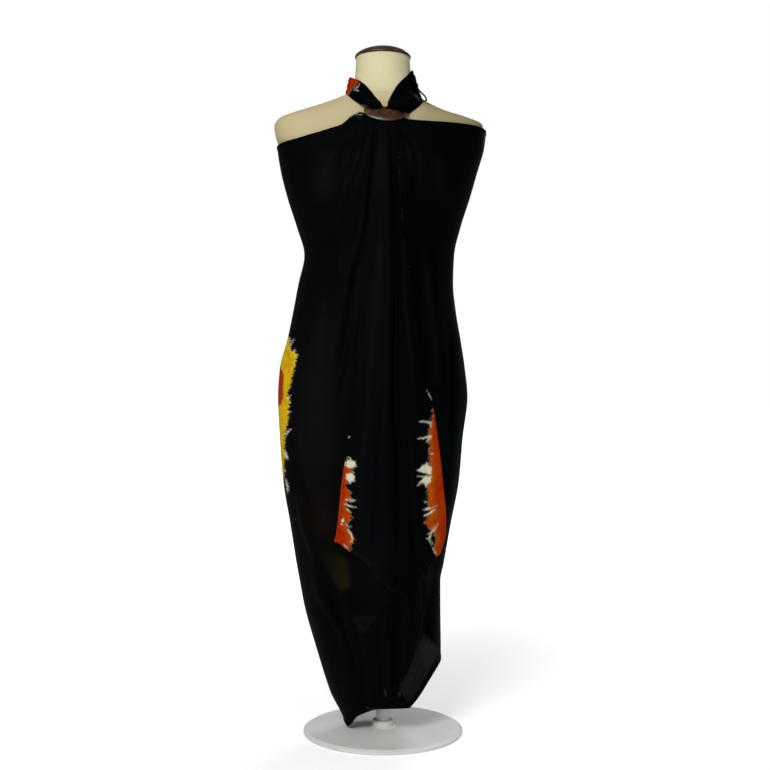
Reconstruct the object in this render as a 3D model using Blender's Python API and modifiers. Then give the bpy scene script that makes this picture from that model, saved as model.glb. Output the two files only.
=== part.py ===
# Sarong worn as a halter dress on a limbless dress form.
# Metres, +Z up, front towards -Y, origin on the floor under the middle of the base.
# An angle round the body is 0 at the front, 90 at +X, 180 at the back and -90 at -X.
import math

import bmesh
import bpy
from mathutils import Matrix, Vector

# Driving sizes of the cloth
WALL = 0.0014
GAP = 0.0006
LAYER = WALL + GAP
WRAP_COLUMNS = 64
WRAP_ROWS = 22
FRONT_CROWDING = 0.45
LEFT_SPANS = 11
RIGHT_SPANS = 9
LAP_SPANS = 1
FALL_ROWS = 19
FALL_TOP = 1.1270
FLARE_START = 0.7400
FLARE_LENGTH = 0.46
FLARE = 0.030
TAIL_WALL = 0.0024
TAIL_COLUMNS = 7
TAIL_PLEAT = 0.0011
TAIL_PLEATS = 2
PLEAT_TURN = 0.05

# Driving sizes of the buckle
BUCKLE_CENTRE = Vector((0.0022, -0.1028, 1.1444))
BUCKLE_TILT = math.radians(29.0)
BUCKLE_HALF_WIDTH = 0.0370
BUCKLE_HALF_HEIGHT = 0.0187
BUCKLE_DOME = 0.0032
BUCKLE_BACK = 0.0012
SLOT_OFFSET = 0.0175
SLOT_RISE = 0.0040
SLOT_HALF_WIDTH = 0.0142
SLOT_HALF_HEIGHT = 0.0058
SLOT_STEPS = 20
BUCKLE_STEPS = 40

# Driving sizes of the stand
FORM_SEGMENTS = 32
NECK_TOP = 1.2700
FORM_BOTTOM = 0.5650
SEAT_GAP = 0.0003
CAP_RADIUS = 0.0530
CAP_HEIGHT = 0.0200
CAP_STEPS = 32
BASE_RADIUS = 0.1500
BASE_HEIGHT = 0.0100
BASE_STEPS = 48
HUB_RADIUS = 0.0200
HUB_HEIGHT = 0.0220
POLE_RADIUS = 0.0130
POLE_STEPS = 24
SHARP_ANGLE = math.radians(40.0)

SECTION_COLUMNS = ("height", "left", "right", "front", "back", "squareness")

# The hanging wrap: half widths and half depths of its level sections
WRAP_SECTIONS = (
    (1.150, 0.2035, 0.1960, 0.0960, 0.1020, 2.80),
    (1.135, 0.2030, 0.1945, 0.1020, 0.1030, 2.80),
    (1.097, 0.1985, 0.1900, 0.1200, 0.1050, 2.80),
    (1.055, 0.1920, 0.1780, 0.1350, 0.1070, 2.60),
    (1.003, 0.1790, 0.1630, 0.1330, 0.1050, 2.40),
    (0.950, 0.1620, 0.1460, 0.1210, 0.1000, 2.30),
    (0.897, 0.1480, 0.1340, 0.1130, 0.0980, 2.20),
    (0.844, 0.1590, 0.1320, 0.1140, 0.1030, 2.20),
    (0.791, 0.1690, 0.1370, 0.1170, 0.1130, 2.20),
    (0.738, 0.1800, 0.1460, 0.1200, 0.1210, 2.20),
    (0.685, 0.1940, 0.1540, 0.1220, 0.1260, 2.20),
    (0.632, 0.1975, 0.1590, 0.1230, 0.1280, 2.20),
    (0.553, 0.1940, 0.1500, 0.1210, 0.1260, 2.15),
    (0.473, 0.1880, 0.1430, 0.1170, 0.1220, 2.10),
    (0.394, 0.1750, 0.1280, 0.1120, 0.1160, 2.10),
    (0.315, 0.1625, 0.1140, 0.1040, 0.1080, 2.05),
    (0.285, 0.1570, 0.1082, 0.1003, 0.1043, 2.03),
    (0.235, 0.1475, 0.1082, 0.0940, 0.0980, 2.00),
    (0.156, 0.1250, 0.1090, 0.0820, 0.0860, 2.00),
    (0.077, 0.1000, 0.1090, 0.0660, 0.0700, 2.00),
    (0.010, 0.0720, 0.1080, 0.0500, 0.0560, 2.00),
)

# The dress form: half widths and half depths of its level sections
FORM_SECTIONS = (
    (1.270, 0.0510, 0.0510, 0.0500, 0.0520, 2.00),
    (1.245, 0.0520, 0.0520, 0.0510, 0.0530, 2.00),
    (1.225, 0.0545, 0.0545, 0.0530, 0.0560, 2.00),
    (1.213, 0.0590, 0.0580, 0.0560, 0.0600, 2.05),
    (1.205, 0.0640, 0.0610, 0.0590, 0.0640, 2.10),
    (1.198, 0.0712, 0.0652, 0.0630, 0.0680, 2.15),
    (1.191, 0.0852, 0.0742, 0.0670, 0.0720, 2.20),
    (1.183, 0.1048, 0.0845, 0.0710, 0.0770, 2.30),
    (1.175, 0.1278, 0.0980, 0.0750, 0.0810, 2.40),
    (1.167, 0.1528, 0.1138, 0.0790, 0.0850, 2.50),
    (1.160, 0.1752, 0.1310, 0.0820, 0.0880, 2.60),
    (1.151, 0.1970, 0.1600, 0.0860, 0.0910, 2.70),
    (1.138, 0.2045, 0.1880, 0.0910, 0.0940, 2.80),
    (1.118, 0.2015, 0.1850, 0.1000, 0.0960, 2.80),
    (1.100, 0.1945, 0.1810, 0.1080, 0.0970, 2.80),
    (1.075, 0.1780, 0.1690, 0.1190, 0.0985, 2.70),
    (1.040, 0.1600, 0.1540, 0.1240, 0.0980, 2.50),
    (0.990, 0.1480, 0.1440, 0.1120, 0.0940, 2.30),
    (0.930, 0.1310, 0.1290, 0.0930, 0.0860, 2.20),
    (0.891, 0.1230, 0.1220, 0.0880, 0.0830, 2.20),
    (0.830, 0.1270, 0.1230, 0.0930, 0.0910, 2.20),
    (0.760, 0.1390, 0.1340, 0.1010, 0.1040, 2.20),
    (0.680, 0.1470, 0.1440, 0.1050, 0.1120, 2.20),
    (0.620, 0.1500, 0.1480, 0.1050, 0.1130, 2.20),
    (0.585, 0.1470, 0.1450, 0.1020, 0.1090, 2.20),
    (0.570, 0.1400, 0.1380, 0.0960, 0.1020, 2.20),
    (0.565, 0.1310, 0.1290, 0.0880, 0.0940, 2.20),
)

# Upper edge of the wrap round the body, in degrees and metres
TOP_COLUMNS = ("angle", "height")
TOP_EDGE = (
    (-90.0, 1.0990),
    (-75.0, 1.0970),
    (-61.0, 1.0990),
    (-51.0, 1.1060),
    (-40.0, 1.1165),
    (-33.0, 1.1245),
    (-29.0, 1.1300),
    (-23.5, 1.1450),
    (-17.0, 1.1375),
    (17.0, 1.1375),
    (24.0, 1.1320),
    (38.0, 1.1295),
    (60.0, 1.1280),
    (90.0, 1.1260),
    (130.0, 1.1020),
    (180.0, 1.0850),
    (235.0, 1.0780),
    (270.0, 1.0990),
)

# Lower edge of the wrap round the body
HEM_EDGE = (
    (-90.0, 0.0200),
    (-73.0, 0.0150),
    (-43.0, 0.0420),
    (-6.0, 0.0570),
    (41.5, 0.0578),
    (46.0, 0.0664),
    (54.0, 0.0852),
    (62.0, 0.1057),
    (70.0, 0.1215),
    (78.0, 0.1310),
    (87.0, 0.1355),
    (108.0, 0.1520),
    (124.0, 0.1500),
    (136.0, 0.1050),
    (152.0, 0.0520),
    (180.0, 0.0380),
    (230.0, 0.0300),
    (270.0, 0.0200),
)

# Folds on the front: where each runs across and up, how wide it is and how far it stands out
FOLD_COLUMNS = ("top_x", "top_z", "mid_x", "low_x", "low_z", "width", "depth")
FRONT_FOLDS = (
    (-0.012, 1.130, -0.030, -0.090, 0.640, 0.016, -0.0065),
    (-0.022, 1.130, -0.060, -0.088, 0.800, 0.018, 0.0050),
    (-0.004, 1.130, -0.004, -0.032, 0.460, 0.026, 0.0050),
    (0.015, 1.130, 0.024, 0.030, 0.360, 0.016, -0.0070),
    (0.028, 1.120, 0.044, 0.066, 0.540, 0.018, 0.0055),
    (0.040, 1.120, 0.066, 0.094, 0.620, 0.018, -0.0055),
    (0.050, 1.120, 0.088, 0.112, 0.580, 0.020, 0.0050),
    (-0.040, 1.120, -0.078, -0.120, 0.940, 0.016, -0.0040),
    (-0.125, 1.110, -0.105, -0.120, 0.940, 0.040, 0.0050),
    (0.125, 1.110, 0.095, 0.105, 0.940, 0.036, 0.0050),
    (-0.150, 0.680, -0.120, -0.105, 0.220, 0.022, 0.0070),
    (-0.115, 0.500, -0.095, -0.072, 0.150, 0.018, -0.0065),
    (-0.065, 0.360, -0.055, -0.050, 0.040, 0.022, 0.0055),
    (0.020, 0.380, 0.021, 0.021, 0.040, 0.016, -0.0065),
    (0.050, 0.400, 0.050, 0.045, 0.040, 0.020, 0.0055),
    (0.104, 0.400, 0.090, 0.070, 0.150, 0.018, -0.0045),
)

# Folds on the back, across as seen from the front
BACK_FOLDS = (
    (-0.130, 1.070, -0.090, -0.120, 0.620, 0.024, 0.0060),
    (-0.070, 1.080, -0.050, -0.085, 0.280, 0.024, -0.0075),
    (-0.030, 1.080, -0.012, -0.035, 0.080, 0.026, 0.0070),
    (0.030, 1.080, 0.018, 0.022, 0.100, 0.022, -0.0080),
    (0.085, 1.090, 0.055, 0.060, 0.200, 0.026, 0.0065),
    (0.140, 1.090, 0.090, 0.102, 0.400, 0.022, -0.0060),
    (-0.165, 0.880, -0.135, -0.075, 0.120, 0.024, -0.0060),
)
FOLD_FADE = 0.070
SIDE_FADE = 0.30

# Edges of the two hanging falls across the front, from the buckle to the hem
FALL_EDGE_COLUMNS = ("height", "left", "middle", "right")
FALL_EDGES = (
    (1.127, -0.0140, 0.0080, 0.0260),
    (1.062, -0.0160, 0.0170, 0.0290),
    (1.006, -0.0230, 0.0200, 0.0320),
    (0.930, -0.0290, 0.0230, 0.0370),
    (0.859, -0.0360, 0.0250, 0.0460),
    (0.796, -0.0420, 0.0240, 0.0590),
    (0.660, -0.0520, 0.0200, 0.0830),
    (0.555, -0.0640, 0.0240, 0.1010),
    (0.473, -0.0770, 0.0310, 0.1130),
    (0.412, -0.0810, 0.0320, 0.1200),
    (0.365, -0.0890, 0.0300, 0.1150),
    (0.270, -0.0930, 0.0270, 0.1020),
)

# How far the falls stand off the wrap, down their height
OFFSET_COLUMNS = ("height", "off")
FALL_OFFSETS = (
    (1.127, 0.0020),
    (1.070, 0.0044),
    (0.680, 0.0044),
    (0.540, 0.0072),
    (0.270, 0.0072),
)

# Hem of each fall: share of its width from the left, and height
HEM_COLUMNS = ("share", "height")
LEFT_HEM = (
    (0.00, 0.3710),
    (0.25, 0.3520),
    (0.48, 0.3300),
    (0.57, 0.3150),
    (0.82, 0.2880),
    (1.00, 0.2730),
)
RIGHT_HEM = (
    (0.00, 0.2730),
    (0.65, 0.3140),
    (1.00, 0.3440),
)

# The corner of the inner layer that hangs below the falls
CORNER_COLUMNS = ("share", "height", "x")
CORNER_TOP = 0.5000
CORNER_OFF = 0.0027
CORNER_HEM = (
    (0.00, 0.2291, -0.0545),
    (0.24, 0.1995, -0.0391),
    (0.50, 0.2302, -0.0124),
    (0.75, 0.2597, 0.0127),
    (1.00, 0.2800, 0.0280),
)
CORNER_TOP_LEFT = -0.0500
CORNER_TOP_RIGHT = 0.0120
CORNER_GRID = (8, 8)

# Neck tails: angle round the neck, lower and upper edge, distance off the form
TAIL_ROW_COLUMNS = ("angle", "low", "high", "off")
LEFT_TAIL = (
    (-19.0, 1.1630, 1.1840, 0.0140),
    (-28.0, 1.1620, 1.2000, 0.0085),
    (-42.0, 1.1840, 1.2130, 0.0048),
    (-60.0, 1.1990, 1.2240, 0.0040),
    (-90.0, 1.2070, 1.2330, 0.0036),
    (-120.0, 1.2130, 1.2370, 0.0034),
    (-152.0, 1.2180, 1.2370, 0.0044),
    (-163.0, 1.2190, 1.2360, 0.0085),
)
RIGHT_TAIL = (
    (20.0, 1.1620, 1.1990, 0.0140),
    (28.0, 1.1480, 1.2110, 0.0100),
    (36.0, 1.1570, 1.2190, 0.0075),
    (46.0, 1.1710, 1.2280, 0.0055),
    (56.0, 1.1870, 1.2340, 0.0045),
    (72.0, 1.2020, 1.2380, 0.0040),
    (90.0, 1.2080, 1.2390, 0.0036),
    (120.0, 1.2120, 1.2390, 0.0034),
    (152.0, 1.2170, 1.2370, 0.0044),
    (163.0, 1.2190, 1.2360, 0.0085),
)
TAIL_ROWS = 17

# A tail's way through its slot: up the buckle's face, out of it, and half its width there
LEAD_ROWS = (
    (-0.0050, -0.0042, 0.0095),
    (-0.0005, -0.0034, 0.0095),
    (0.0038, 0.0004, 0.0095),
    (0.0075, 0.0045, 0.0098),
    (0.0120, 0.0056, 0.0104),
    (0.0170, 0.0054, 0.0110),
)

# Knot at the nape and its two free ends
KNOT_CENTRE = Vector((0.0, 0.0683, 1.2275))
KNOT_RADII = Vector((0.0185, 0.0120, 0.0150))
KNOT_TURN = math.radians(18.0)
KNOT_STEPS = 16
KNOT_RINGS = 10
END_COLUMNS = ("height", "inner", "outer")
LEFT_END = (
    (1.2130, 184.0, 196.0),
    (1.1950, 184.0, 202.0),
    (1.1700, 186.0, 206.0),
    (1.1450, 190.0, 206.0),
    (1.1280, 197.0, 201.0),
)
RIGHT_END = (
    (1.2130, 176.0, 164.0),
    (1.1980, 175.0, 159.0),
    (1.1780, 173.0, 155.0),
    (1.1580, 169.0, 155.0),
    (1.1440, 162.0, 158.0),
)
END_OFF = 0.0021
END_GRID = (5, 8)

COLOURS = {
    "cloth": (0.0030, 0.0036, 0.0050, 1.0),
    "linen": (0.6400, 0.5700, 0.3600, 1.0),
    "wood": (0.0900, 0.0400, 0.0180, 1.0),
    "shell": (0.1150, 0.0500, 0.0220, 1.0),
    "steel": (0.7800, 0.7800, 0.7700, 1.0),
}


def clear_scene():
    for item in list(bpy.data.objects):
        bpy.data.objects.remove(item, do_unlink=True)


def make_collection(name):
    collection = bpy.data.collections.new(name)
    bpy.context.scene.collection.children.link(collection)
    return collection


def make_material(name, colour, roughness, metallic):
    material = bpy.data.materials.new(name)
    material.use_nodes = True
    shader = material.node_tree.nodes["Principled BSDF"]
    shader.inputs["Base Color"].default_value = colour
    shader.inputs["Roughness"].default_value = roughness
    shader.inputs["Metallic"].default_value = metallic
    return material


def clamp(value, low, high):
    return max(low, min(high, value))


def smoothstep(value):
    share = clamp(value, 0.0, 1.0)
    return share * share * (3.0 - 2.0 * share)


def slope_at(keys, values, index):
    # Tangent that never overshoots its two neighbours
    if index == 0 or index == len(keys) - 1:
        return 0.0
    before = (values[index] - values[index - 1]) / (keys[index] - keys[index - 1])
    after = (values[index + 1] - values[index]) / (keys[index + 1] - keys[index])
    if before * after <= 0.0:
        return 0.0
    return 2.0 * before * after / (before + after)


def read_table(table, names, key, column, place):
    # Smooth value of one named column at a place between the rows
    rows = sorted(table, key=lambda row: row[names.index(key)])
    keys = [row[names.index(key)] for row in rows]
    values = [row[names.index(column)] for row in rows]
    place = clamp(place, keys[0], keys[-1])
    index = 0
    while index < len(keys) - 2 and place > keys[index + 1]:
        index += 1
    span = keys[index + 1] - keys[index]
    share = (place - keys[index]) / span
    first = slope_at(keys, values, index) * span
    second = slope_at(keys, values, index + 1) * span
    square = share * share
    cube = square * share
    return (
        values[index] * (2.0 * cube - 3.0 * square + 1.0)
        + first * (cube - 2.0 * square + share)
        + values[index + 1] * (3.0 * square - 2.0 * cube)
        + second * (cube - square)
    )


def section_at(table, height):
    section = {}
    for name in SECTION_COLUMNS[1:]:
        section[name] = read_table(table, SECTION_COLUMNS, "height", name, height)
    return section


def widened(section, side, front):
    wider = dict(section)
    wider["left"] += side
    wider["right"] += side
    wider["front"] += front
    return wider


def section_point(section, angle):
    # Point on a section's outline and the level direction that points out of it
    across = math.sin(angle)
    ahead = math.cos(angle)
    width = section["right"] if across > 0.0 else section["left"]
    depth = section["front"] if ahead > 0.0 else section["back"]
    power = section["squareness"]
    radius = ((abs(across) / width) ** power + (abs(ahead) / depth) ** power) ** (-1.0 / power)
    place = Vector((radius * across, -radius * ahead))
    out_x = math.copysign(abs(place.x) ** (power - 1.0) / width ** power, across)
    out_y = math.copysign(abs(place.y) ** (power - 1.0) / depth ** power, -ahead)
    return place, Vector((out_x, out_y)).normalized(), radius


def angle_of(section, x, at_back=False):
    # Angle at which a section's outline crosses a given distance across
    width = section["right"] if x > 0.0 else section["left"]
    depth = section["back"] if at_back else section["front"]
    power = section["squareness"]
    share = clamp(abs(x) / width, 0.0, 0.999)
    ahead = depth * (1.0 - share ** power) ** (1.0 / power)
    angle = math.atan2(x, ahead)
    return math.pi - angle if at_back else angle


def fold_shift(section, angle, radius, height):
    # Sum of every fold that runs past this place
    at_back = math.cos(angle) < 0.0
    total = 0.0
    for row in BACK_FOLDS if at_back else FRONT_FOLDS:
        fold = dict(zip(FOLD_COLUMNS, row))
        if not fold["low_z"] < height < fold["top_z"]:
            continue
        share = (fold["top_z"] - height) / (fold["top_z"] - fold["low_z"])
        bend = fold["mid_x"] - 0.5 * (fold["top_x"] + fold["low_x"])
        x = fold["top_x"] + (fold["low_x"] - fold["top_x"]) * share + 4.0 * bend * share * (1.0 - share)
        crest = angle_of(section, x, at_back)
        turn = (angle - crest + math.pi) % (2.0 * math.pi) - math.pi
        distance = turn * radius / fold["width"]
        fade = smoothstep((fold["top_z"] - height) / FOLD_FADE)
        fade *= smoothstep((height - fold["low_z"]) / FOLD_FADE)
        total += fold["depth"] * fade * math.exp(-distance * distance)
    # Front and back folds die away towards the sides
    return total * smoothstep(abs(math.cos(angle)) / SIDE_FADE)


def wrap_point(angle, height, layer=0.0, flare=0.0):
    section = widened(section_at(WRAP_SECTIONS, height), flare, layer)
    place, out, radius = section_point(section, angle)
    shift = fold_shift(section, angle, radius, height)
    place = place + out * shift
    return Vector((place.x, place.y, height))


def form_point(angle, height, off):
    place, out, _ = section_point(section_at(FORM_SECTIONS, height), angle)
    place = place + out * off
    return Vector((place.x, place.y, height))


def grid_mesh(name, rows, closed):
    count = len(rows[0])
    points = [point for row in rows for point in row]
    faces = []
    for row in range(len(rows) - 1):
        for column in range(count if closed else count - 1):
            ahead = (column + 1) % count
            a = row * count + column
            b = row * count + ahead
            faces.append((a, a + count, b + count, b))
    mesh = bpy.data.meshes.new(name)
    mesh.from_pydata([tuple(point) for point in points], [], faces)
    mesh.update()
    return mesh


def place_object(name, mesh, material, collection):
    item = bpy.data.objects.new(name, mesh)
    collection.objects.link(item)
    item.data.materials.clear()
    item.data.materials.append(material)
    item.data.shade_smooth()
    return item


def make_sheet(name, rows, closed, wall, material, collection):
    item = place_object(name, grid_mesh(name, rows, closed), material, collection)
    thickness = item.modifiers.new("wall", "SOLIDIFY")
    thickness.thickness = wall
    thickness.offset = 0.0
    return item


def wrap_angles():
    angles = []
    for index in range(WRAP_COLUMNS):
        turn = 2.0 * math.pi * index / WRAP_COLUMNS
        angles.append(turn - FRONT_CROWDING * math.sin(turn))
    return angles


def edge_height(table, angle):
    degrees = math.degrees(angle)
    degrees = degrees - 360.0 if degrees > 270.0 else degrees
    return read_table(table, TOP_COLUMNS, "angle", "height", degrees)


def build_wrap(material, collection):
    rows = []
    for step in range(WRAP_ROWS):
        share = step / (WRAP_ROWS - 1)
        row = []
        for angle in wrap_angles():
            high = edge_height(TOP_EDGE, angle)
            low = edge_height(HEM_EDGE, angle)
            row.append(wrap_point(angle, high + (low - high) * share))
        rows.append(row)
    return make_sheet("wrap", rows, True, WALL, material, collection)


def flare_at(height):
    return FLARE * smoothstep((FLARE_START - height) / FLARE_LENGTH)


def fall_edge(column, height):
    return read_table(FALL_EDGES, FALL_EDGE_COLUMNS, "height", column, height)


def fall_columns():
    # Every column of the two falls: the edges it lies between, its share of the way, and its hem
    columns = []
    for index in range(LEFT_SPANS + 1):
        share = index / LEFT_SPANS
        low = read_table(LEFT_HEM, HEM_COLUMNS, "share", "height", share)
        columns.append(("left", "middle", share, low))
    for index in range(1, RIGHT_SPANS + 1):
        share = index / RIGHT_SPANS
        low = read_table(RIGHT_HEM, HEM_COLUMNS, "share", "height", share)
        columns.append(("middle", "right", share, low))
    return columns


def build_fall(name, columns, layer, material, collection):
    rows = []
    for step in range(FALL_ROWS):
        row = []
        for left, right, across, low in columns:
            height = FALL_TOP + (low - FALL_TOP) * step / (FALL_ROWS - 1)
            side = flare_at(height)
            off = layer + read_table(FALL_OFFSETS, OFFSET_COLUMNS, "height", "off", height)
            section = widened(section_at(WRAP_SECTIONS, height), side, off)
            first = angle_of(section, fall_edge(left, height))
            last = angle_of(section, fall_edge(right, height))
            row.append(wrap_point(first + (last - first) * across, height, off, side))
        rows.append(row)
    return make_sheet(name, rows, False, WALL, material, collection)


def build_corner(material, collection):
    rows = []
    columns, steps = CORNER_GRID
    for step in range(steps):
        row = []
        for column in range(columns):
            across = column / (columns - 1)
            low = read_table(CORNER_HEM, CORNER_COLUMNS, "share", "height", across)
            low_x = read_table(CORNER_HEM, CORNER_COLUMNS, "share", "x", across)
            top_x = CORNER_TOP_LEFT + (CORNER_TOP_RIGHT - CORNER_TOP_LEFT) * across
            down = step / (steps - 1)
            height = CORNER_TOP + (low - CORNER_TOP) * down
            section = widened(section_at(WRAP_SECTIONS, height), 0.0, CORNER_OFF)
            angle = angle_of(section, top_x + (low_x - top_x) * down)
            row.append(wrap_point(angle, height, CORNER_OFF))
        rows.append(row)
    return make_sheet("inner_corner", rows, False, WALL, material, collection)


def buckle_frame():
    # Turns the buckle's own axes (across, up its face, out of its face) into the world's
    tilt = Matrix.Rotation(-BUCKLE_TILT, 4, "X")
    upright = Matrix.Rotation(math.radians(90.0), 4, "X")
    return Matrix.Translation(BUCKLE_CENTRE) @ tilt @ upright


def on_buckle(across, up, out):
    return buckle_frame() @ Vector((across, up, out))


def tail_lead(side):
    # Rows of a tail from behind the buckle, through its slot and over its upper rim
    middle = side * SLOT_OFFSET
    rows = []
    for up, out, half in LEAD_ROWS:
        row = []
        for column in range(TAIL_COLUMNS):
            share = column / (TAIL_COLUMNS - 1)
            reach = half * (2.0 * share - 1.0)
            row.append(on_buckle(middle + side * reach, up, out))
        rows.append(row)
    return rows


def build_tail(name, table, side, material, collection):
    # The inner long edge of the lead runs on as the upper edge round the neck
    rows = tail_lead(side)
    start = table[0][0]
    finish = table[-1][0]
    for step in range(TAIL_ROWS):
        angle = start + (finish - start) * step / (TAIL_ROWS - 1)
        low = read_table(table, TAIL_ROW_COLUMNS, "angle", "low", angle)
        high = read_table(table, TAIL_ROW_COLUMNS, "angle", "high", angle)
        off = read_table(table, TAIL_ROW_COLUMNS, "angle", "off", angle)
        row = []
        for column in range(TAIL_COLUMNS):
            share = column / (TAIL_COLUMNS - 1)
            pleat = TAIL_PLEAT * math.sin(share * TAIL_PLEATS * 2.0 * math.pi + angle * PLEAT_TURN)
            row.append(form_point(math.radians(angle), high + (low - high) * share, off + pleat))
        rows.append(row)
    if side < 0:
        rows = [list(reversed(row)) for row in rows]
    return make_sheet(name, rows, False, TAIL_WALL, material, collection)


def build_end(name, table, material, collection):
    rows = []
    columns, steps = END_GRID
    top = table[0][0]
    foot = table[-1][0]
    for step in range(steps):
        height = top + (foot - top) * step / (steps - 1)
        inner = read_table(table, END_COLUMNS, "height", "inner", height)
        outer = read_table(table, END_COLUMNS, "height", "outer", height)
        row = []
        for column in range(columns):
            share = column / (columns - 1)
            angle = math.radians(inner + (outer - inner) * share)
            row.append(form_point(angle, height, END_OFF))
        rows.append(row)
    if table[0][2] < table[0][1]:
        rows = [list(reversed(row)) for row in rows]
    return make_sheet(name, rows, False, TAIL_WALL, material, collection)


def build_knot(material, collection):
    bpy.ops.mesh.primitive_uv_sphere_add(segments=KNOT_STEPS, ring_count=KNOT_RINGS, radius=1.0)
    item = bpy.context.object
    item.name = "nape_knot"
    item.data.transform(Matrix.Diagonal((*KNOT_RADII, 1.0)))
    item.location = KNOT_CENTRE
    item.rotation_euler = (0.0, KNOT_TURN, 0.0)
    return adopt(item, material, collection)


def adopt(item, material, collection):
    # Moves an object made by an operator into its collection and gives it its finish
    for owner in list(item.users_collection):
        owner.objects.unlink(item)
    collection.objects.link(item)
    item.data.materials.clear()
    item.data.materials.append(material)
    item.data.shade_smooth()
    return item


def turned_mesh(name, profile, steps):
    # Closed mesh turned round Z from a profile that runs down its outer side
    mesh = bpy.data.meshes.new(name)
    points = [(radius, 0.0, height) for radius, height in profile]
    mesh.from_pydata(points, [(i, i + 1) for i in range(len(points) - 1)], [])
    holder = bpy.data.objects.new(name, mesh)
    bpy.context.scene.collection.objects.link(holder)
    turn = holder.modifiers.new("turn", "SCREW")
    turn.axis = "Z"
    turn.steps = steps
    turn.render_steps = steps
    turn.use_merge_vertices = True
    turn.merge_threshold = 0.0001
    depsgraph = bpy.context.evaluated_depsgraph_get()
    result = bpy.data.meshes.new_from_object(holder.evaluated_get(depsgraph))
    bpy.data.objects.remove(holder, do_unlink=True)
    return result


def build_buckle(material, collection, cutters):
    # Domed oval plate with two slots side by side
    rim = BUCKLE_HALF_HEIGHT
    profile = (
        (0.0, BUCKLE_DOME),
        (rim * 0.50, BUCKLE_DOME * 0.86),
        (rim * 0.80, BUCKLE_DOME * 0.52),
        (rim * 0.96, BUCKLE_DOME * 0.18),
        (rim, -BUCKLE_BACK * 0.30),
        (rim * 0.96, -BUCKLE_BACK),
        (0.0, -BUCKLE_BACK),
    )
    mesh = turned_mesh("buckle", profile, BUCKLE_STEPS)
    mesh.transform(Matrix.Diagonal((BUCKLE_HALF_WIDTH / BUCKLE_HALF_HEIGHT, 1.0, 1.0, 1.0)))
    item = place_object("buckle", mesh, material, collection)
    item.matrix_world = buckle_frame()
    for side in (-1.0, 1.0):
        bpy.ops.mesh.primitive_cylinder_add(vertices=SLOT_STEPS, radius=1.0, depth=1.0)
        cutter = bpy.context.object
        cutter.name = "slot_cutter"
        cutter.data.transform(Matrix.Diagonal((SLOT_HALF_WIDTH, SLOT_HALF_HEIGHT, 0.02, 1.0)))
        adopt(cutter, material, cutters)
        cutter.matrix_world = buckle_frame() @ Matrix.Translation((side * SLOT_OFFSET, SLOT_RISE, 0.0))
        cutter.hide_render = True
        cutter.display_type = "WIRE"
        cut = item.modifiers.new("slot", "BOOLEAN")
        cut.operation = "DIFFERENCE"
        cut.object = cutter
    return item


def build_form(material, collection):
    # Smooth loft from the flat neck top to the flat underside
    heights = sorted((row[0] for row in FORM_SECTIONS), reverse=True)
    rows = []
    for height in heights:
        angles = [2.0 * math.pi * index / FORM_SEGMENTS for index in range(FORM_SEGMENTS)]
        rows.append([form_point(angle, height, 0.0) for angle in angles])
    mesh = grid_mesh("form", rows, True)
    shell = bmesh.new()
    shell.from_mesh(mesh)
    bmesh.ops.holes_fill(shell, edges=[edge for edge in shell.edges if edge.is_boundary])
    bmesh.ops.recalc_face_normals(shell, faces=shell.faces)
    shell.to_mesh(mesh)
    shell.free()
    return place_object("form", mesh, material, collection)


def build_cap(material, collection):
    foot = NECK_TOP + SEAT_GAP
    profile = (
        (0.0, foot + CAP_HEIGHT),
        (CAP_RADIUS * 0.34, foot + CAP_HEIGHT * 0.93),
        (CAP_RADIUS * 0.62, foot + CAP_HEIGHT * 0.76),
        (CAP_RADIUS * 0.86, foot + CAP_HEIGHT * 0.48),
        (CAP_RADIUS * 0.98, foot + CAP_HEIGHT * 0.22),
        (CAP_RADIUS, foot + CAP_HEIGHT * 0.10),
        (CAP_RADIUS * 0.98, foot),
        (0.0, foot),
    )
    return place_object("neck_cap", turned_mesh("neck_cap", profile, CAP_STEPS), material, collection)


def build_base(material, collection):
    profile = (
        (0.0, HUB_HEIGHT),
        (HUB_RADIUS * 0.92, HUB_HEIGHT),
        (HUB_RADIUS, HUB_HEIGHT - 0.002),
        (HUB_RADIUS * 1.05, BASE_HEIGHT + 0.002),
        (HUB_RADIUS * 1.30, BASE_HEIGHT),
        (BASE_RADIUS - 0.006, BASE_HEIGHT - 0.002),
        (BASE_RADIUS, BASE_HEIGHT * 0.45),
        (BASE_RADIUS, 0.0015),
        (BASE_RADIUS - 0.0015, 0.0),
        (0.0, 0.0),
    )
    return place_object("base", turned_mesh("base", profile, BASE_STEPS), material, collection)


def build_pole(material, collection):
    low = HUB_HEIGHT + SEAT_GAP
    high = FORM_BOTTOM - SEAT_GAP
    bpy.ops.mesh.primitive_cylinder_add(
        vertices=POLE_STEPS, radius=POLE_RADIUS, depth=high - low, location=(0.0, 0.0, 0.5 * (low + high))
    )
    item = bpy.context.object
    item.name = "pole"
    item = adopt(item, material, collection)
    item.data.set_sharp_from_angle(angle=SHARP_ANGLE)
    return item


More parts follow.
